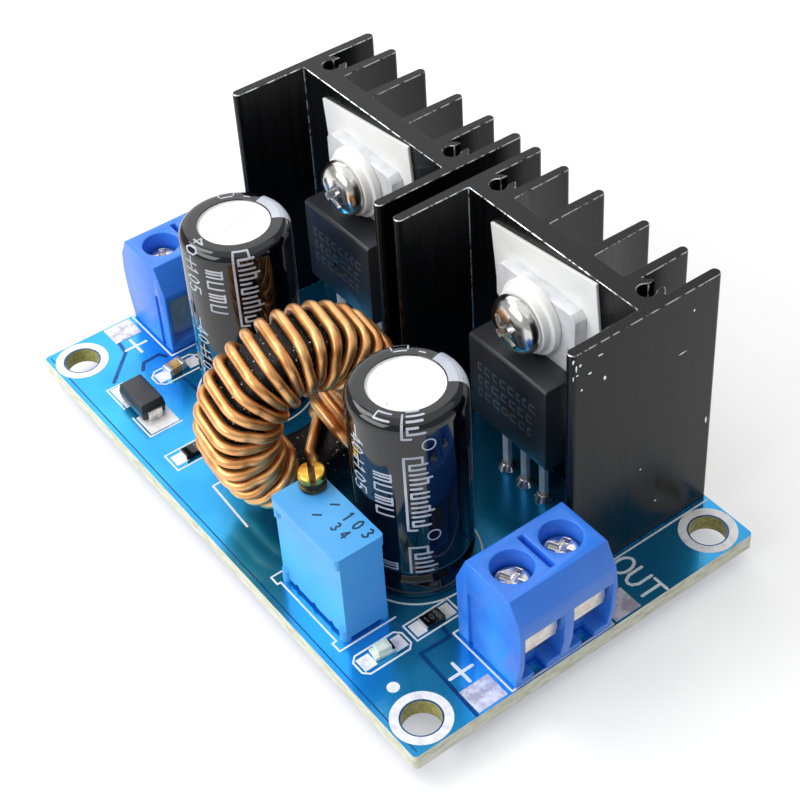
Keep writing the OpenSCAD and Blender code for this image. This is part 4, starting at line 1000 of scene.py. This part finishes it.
def makeCapacitor(end, turned):
    low, high = [Vector(c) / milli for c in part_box("capacitor_sleeve_" + end)]
    centre = Vector(((low.x + high.x) / 2, (low.y + high.y) / 2, boardTop))
    r, t, h = capacitor["can"] / 2, capacitor["sleeve"], capacitor["height"]
    bz, bd, crown = capacitor["beadAt"], capacitor["bead"], capacitor["crown"]
    outline = [(r - 0.6, 0.1), (r + t, 0.1), (r + t, bz - 0.55), (r + t - bd, bz), (r + t, bz + 0.55), (r + t, h - crown - t)]
    outline = rounded(outline, 0.3, 5)
    outline += arcPoints(r - crown, h - crown - t, crown + t, 0, 90, 8)[1:]
    outline += [(capacitor["open"], h), (capacitor["open"] - 0.04, h - 0.05), (capacitor["open"] - 0.02, h - 0.1)]
    vertices, faces = lathe(outline, centre, steps=96)
    mesh = meshFrom("sleeve", vertices, faces)
    addPiece("capacitor_sleeve_%s.part" % end, mesh, sleevePvc, "module", "capacitor_sleeve_" + end, 40)
    eased("capacitor_can_" + end, glaringCanTop, 0.05, 1, smooth=None)
    eased("capacitor_bung_" + end, bungRubber, 0.1, 1)
    eased("capacitor_leads_" + end, tinned, 0.05, 1)
    # the cross pressed into the can's end, which only just shows
    score = Flat(h - 0.098, 0.004)
    for a in (20, 110):
        x, y = 2.6 * math.cos(math.radians(a)), 2.6 * math.sin(math.radians(a))
        score.stroke([(-x, -y), (x, y)], 0.1)
    mesh = score.mesh("score", lambda x, y, z: (centre.x + x, centre.y + y, centre.z + z))
    addPiece("capacitor_can_%s.score" % end, mesh, scoreTin, smooth=None)
    printSleeve(end, centre, turned)


makeCapacitor("in", 7)
makeCapacitor("out", 0)
print("capacitors dressed")


eased("trimmer_body", trimmerNylon, 0.06, 1, 25, smooth=None, clamp=True)
adjuster = eased("trimmer_screw", brass, 0.05, 2, clamp=True).data
adjuster.materials.append(shadedBrass)
rim = max(v.co.z for v in adjuster.vertices) - 0.42 * milli
for face in adjuster.polygons:   # the collar below the slotted disc is painted darker, as painted shade under the disc
    face.material_index = 1 if face.center.z < rim else 0
eased("trimmer_pins", tinned, 0.04, 1)


def markTrimmer():
    # value figures in small dots, and two short strokes beside them
    marks = Flat(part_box("trimmer_body")[1].z / milli + 0.001, 0.01)
    write(marks, "103", (14.05, -13.05), (1, 0.06), 1.1, 0.19, 1.15, 0.3)
    write(marks, "34", (14.35, -14.4), (1, 0.06), 0.95, 0.18, 1.2, 0.3)
    for y in (-14.4, -12.6):
        marks.run([(12.3, y - 0.2), (12.75, y + 0.3)], 0.2)
    addPiece("trimmer_body.marks", marks.mesh("marks"), markInk, smooth=None)


markTrimmer()
for end in ("in", "out"):
    eased("terminal_housing_" + end, terminalNylon, 0.1, 2, 14)
    eased("terminal_contacts_" + end, tinnedStrip, 0.05, 1)
    for pole in ("plus", "minus"):
        eased("clamp_leaf_%s_%s" % (end, pole), tinnedStrip, 0.08, 2)
        eased("clamp_screw_%s_%s" % (end, pole), bright, 0.07, 2, 40)
print("terminals dressed")


eased("smd_diode", epoxy, 0.08, 2, 15)
eased("smd_diode_tabs", solder, 0.06, 1)
eased("chip_capacitor", ceramic, 0.06, 2)
eased("indicator_lamp", lampResin, 0.05, 2)
eased("resistor_in", glazeIn, 0.03, 1)
eased("resistor_out", glazeOut, 0.03, 1)
low, high = [Vector(c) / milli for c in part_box("resistor_out")]
figures = Flat(high.z + 0.001, 0.006)
write(figures, "102", ((low.x + high.x) / 2 + 0.3, (low.y + high.y) / 2 - 0.72), (0, 1), 0.6, 0.06, 0.85)
addPiece("resistor_out.figures", figures.mesh("figures"), epoxyMark, smooth=None)
eased("solder_joints", solder, 0.04, 1)
eased("lead_fillets", solder, 0.04, 1)
print("small parts dressed")


def makeFloor():
    # plain pale paper; its glow is only for what looks at it, so the shadow stays soft
    look = {"white": "#d4d4d4", "glow": 0.38}
    material, tree, shader, where = startMaterial("paperFloor", {"Roughness": 0.7, "Base Color": hexColour(look["white"])})
    glow = addNode(tree, "ShaderNodeEmission", links={"Color": grey(1), "Strength": look["glow"]})
    rays = addNode(tree, "ShaderNodeLightPath")
    seen = addNode(tree, "ShaderNodeMath", {"operation": "ADD", "use_clamp": True}, {
        0: rays.outputs["Is Camera Ray"], 1: rays.outputs["Is Glossy Ray"]}).outputs[0]
    seen = addNode(tree, "ShaderNodeMath", {"operation": "ADD", "use_clamp": True}, {
        0: seen, 1: rays.outputs["Is Transmission Ray"]}).outputs[0]
    total = addNode(tree, "ShaderNodeAddShader", links={0: shader.outputs[0], 1: glow.outputs[0]})
    pick = addNode(tree, "ShaderNodeMixShader", links={0: seen, 1: shader.outputs[0], 2: total.outputs[0]})
    tree.links.new(pick.outputs[0], [n for n in tree.nodes if n.type == "OUTPUT_MATERIAL"][0].inputs["Surface"])
    size, z = 2.0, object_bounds()[0][2]
    mesh = meshFrom("floor", [(-size, -size, z), (size, -size, z), (size, size, z), (-size, size, z)], [(0, 1, 2, 3)], 1.0)
    floor = bpy.data.objects.new("floor", mesh)
    mesh.materials.append(material)
    scene.collection.objects.link(floor)


softboxes = {   # place, size and power of each, in metres and watts
    "keyBox": ((-0.22, -0.14, 0.34), (0.2, 0.2), 0.6), "topBox": ((0.04, 0.02, 0.42), (0.56, 0.56), 0.55),
    "frontBox": ((-0.06, -0.42, 0.28), (0.4, 0.26), 1.3), "lowPanel": ((-0.37, 0.15, 0.25), (0.44, 0.4), 0.6)}


def areaLight(name, place, size, power, colour="#ffffff"):
    # a softbox that looks at the part
    lamp = bpy.data.lights.new(name, "AREA")
    lamp.shape = "RECTANGLE"
    lamp.size, lamp.size_y = size
    lamp.energy = power
    lamp.color = hexColour(colour)[:3]
    holder = bpy.data.objects.new(name, lamp)
    holder.location = place
    holder.rotation_euler = (Vector((0, 0, 0.01)) - Vector(place)).to_track_quat("-Z", "Y").to_euler()
    scene.collection.objects.link(holder)


def lightScene():
    # a dim even room, and soft boxes that carry the light
    world = bpy.data.worlds.new("studio")
    world.use_nodes = True
    scene.world = world
    tree = world.node_tree
    tree.nodes.clear()
    soft = addNode(tree, "ShaderNodeBackground", links={"Color": grey(1), "Strength": 0.38})
    white = addNode(tree, "ShaderNodeBackground", links={"Color": grey(1), "Strength": 1.0})
    rays = addNode(tree, "ShaderNodeLightPath")
    pick = addNode(tree, "ShaderNodeMixShader", links={0: rays.outputs["Is Camera Ray"], 1: soft.outputs[0], 2: white.outputs[0]})
    addNode(tree, "ShaderNodeOutputWorld", links={"Surface": pick.outputs[0]})
    for name, (place, size, power) in softboxes.items():
        areaLight(name, place, size, power)


def placeCamera():
    lens = {"focal": 81.491, "shift": (-0.01994, -0.15271)}
    data = bpy.data.cameras.new("camera")
    data.lens, data.sensor_width = lens["focal"], 36
    data.shift_x, data.shift_y = lens["shift"]
    data.clip_start = 0.01
    camera = bpy.data.objects.new("camera", data)
    right = Vector((0.60355849, 0.79593814, -0.04690027))
    down = Vector((0.48367876, -0.41226657, -0.77206938))
    forward = Vector((-0.63385488, 0.44330436, -0.63380536))
    matrix = Matrix((right, -down, -forward)).transposed().to_4x4()
    matrix.translation = Vector((101.954, -65.593, 120.108)) * milli
    camera.matrix_world = matrix
    scene.collection.objects.link(camera)
    scene.camera = camera


makeFloor()
lightScene()
placeCamera()
scene.view_settings.view_transform = "Standard"
print("floor, light and camera set")
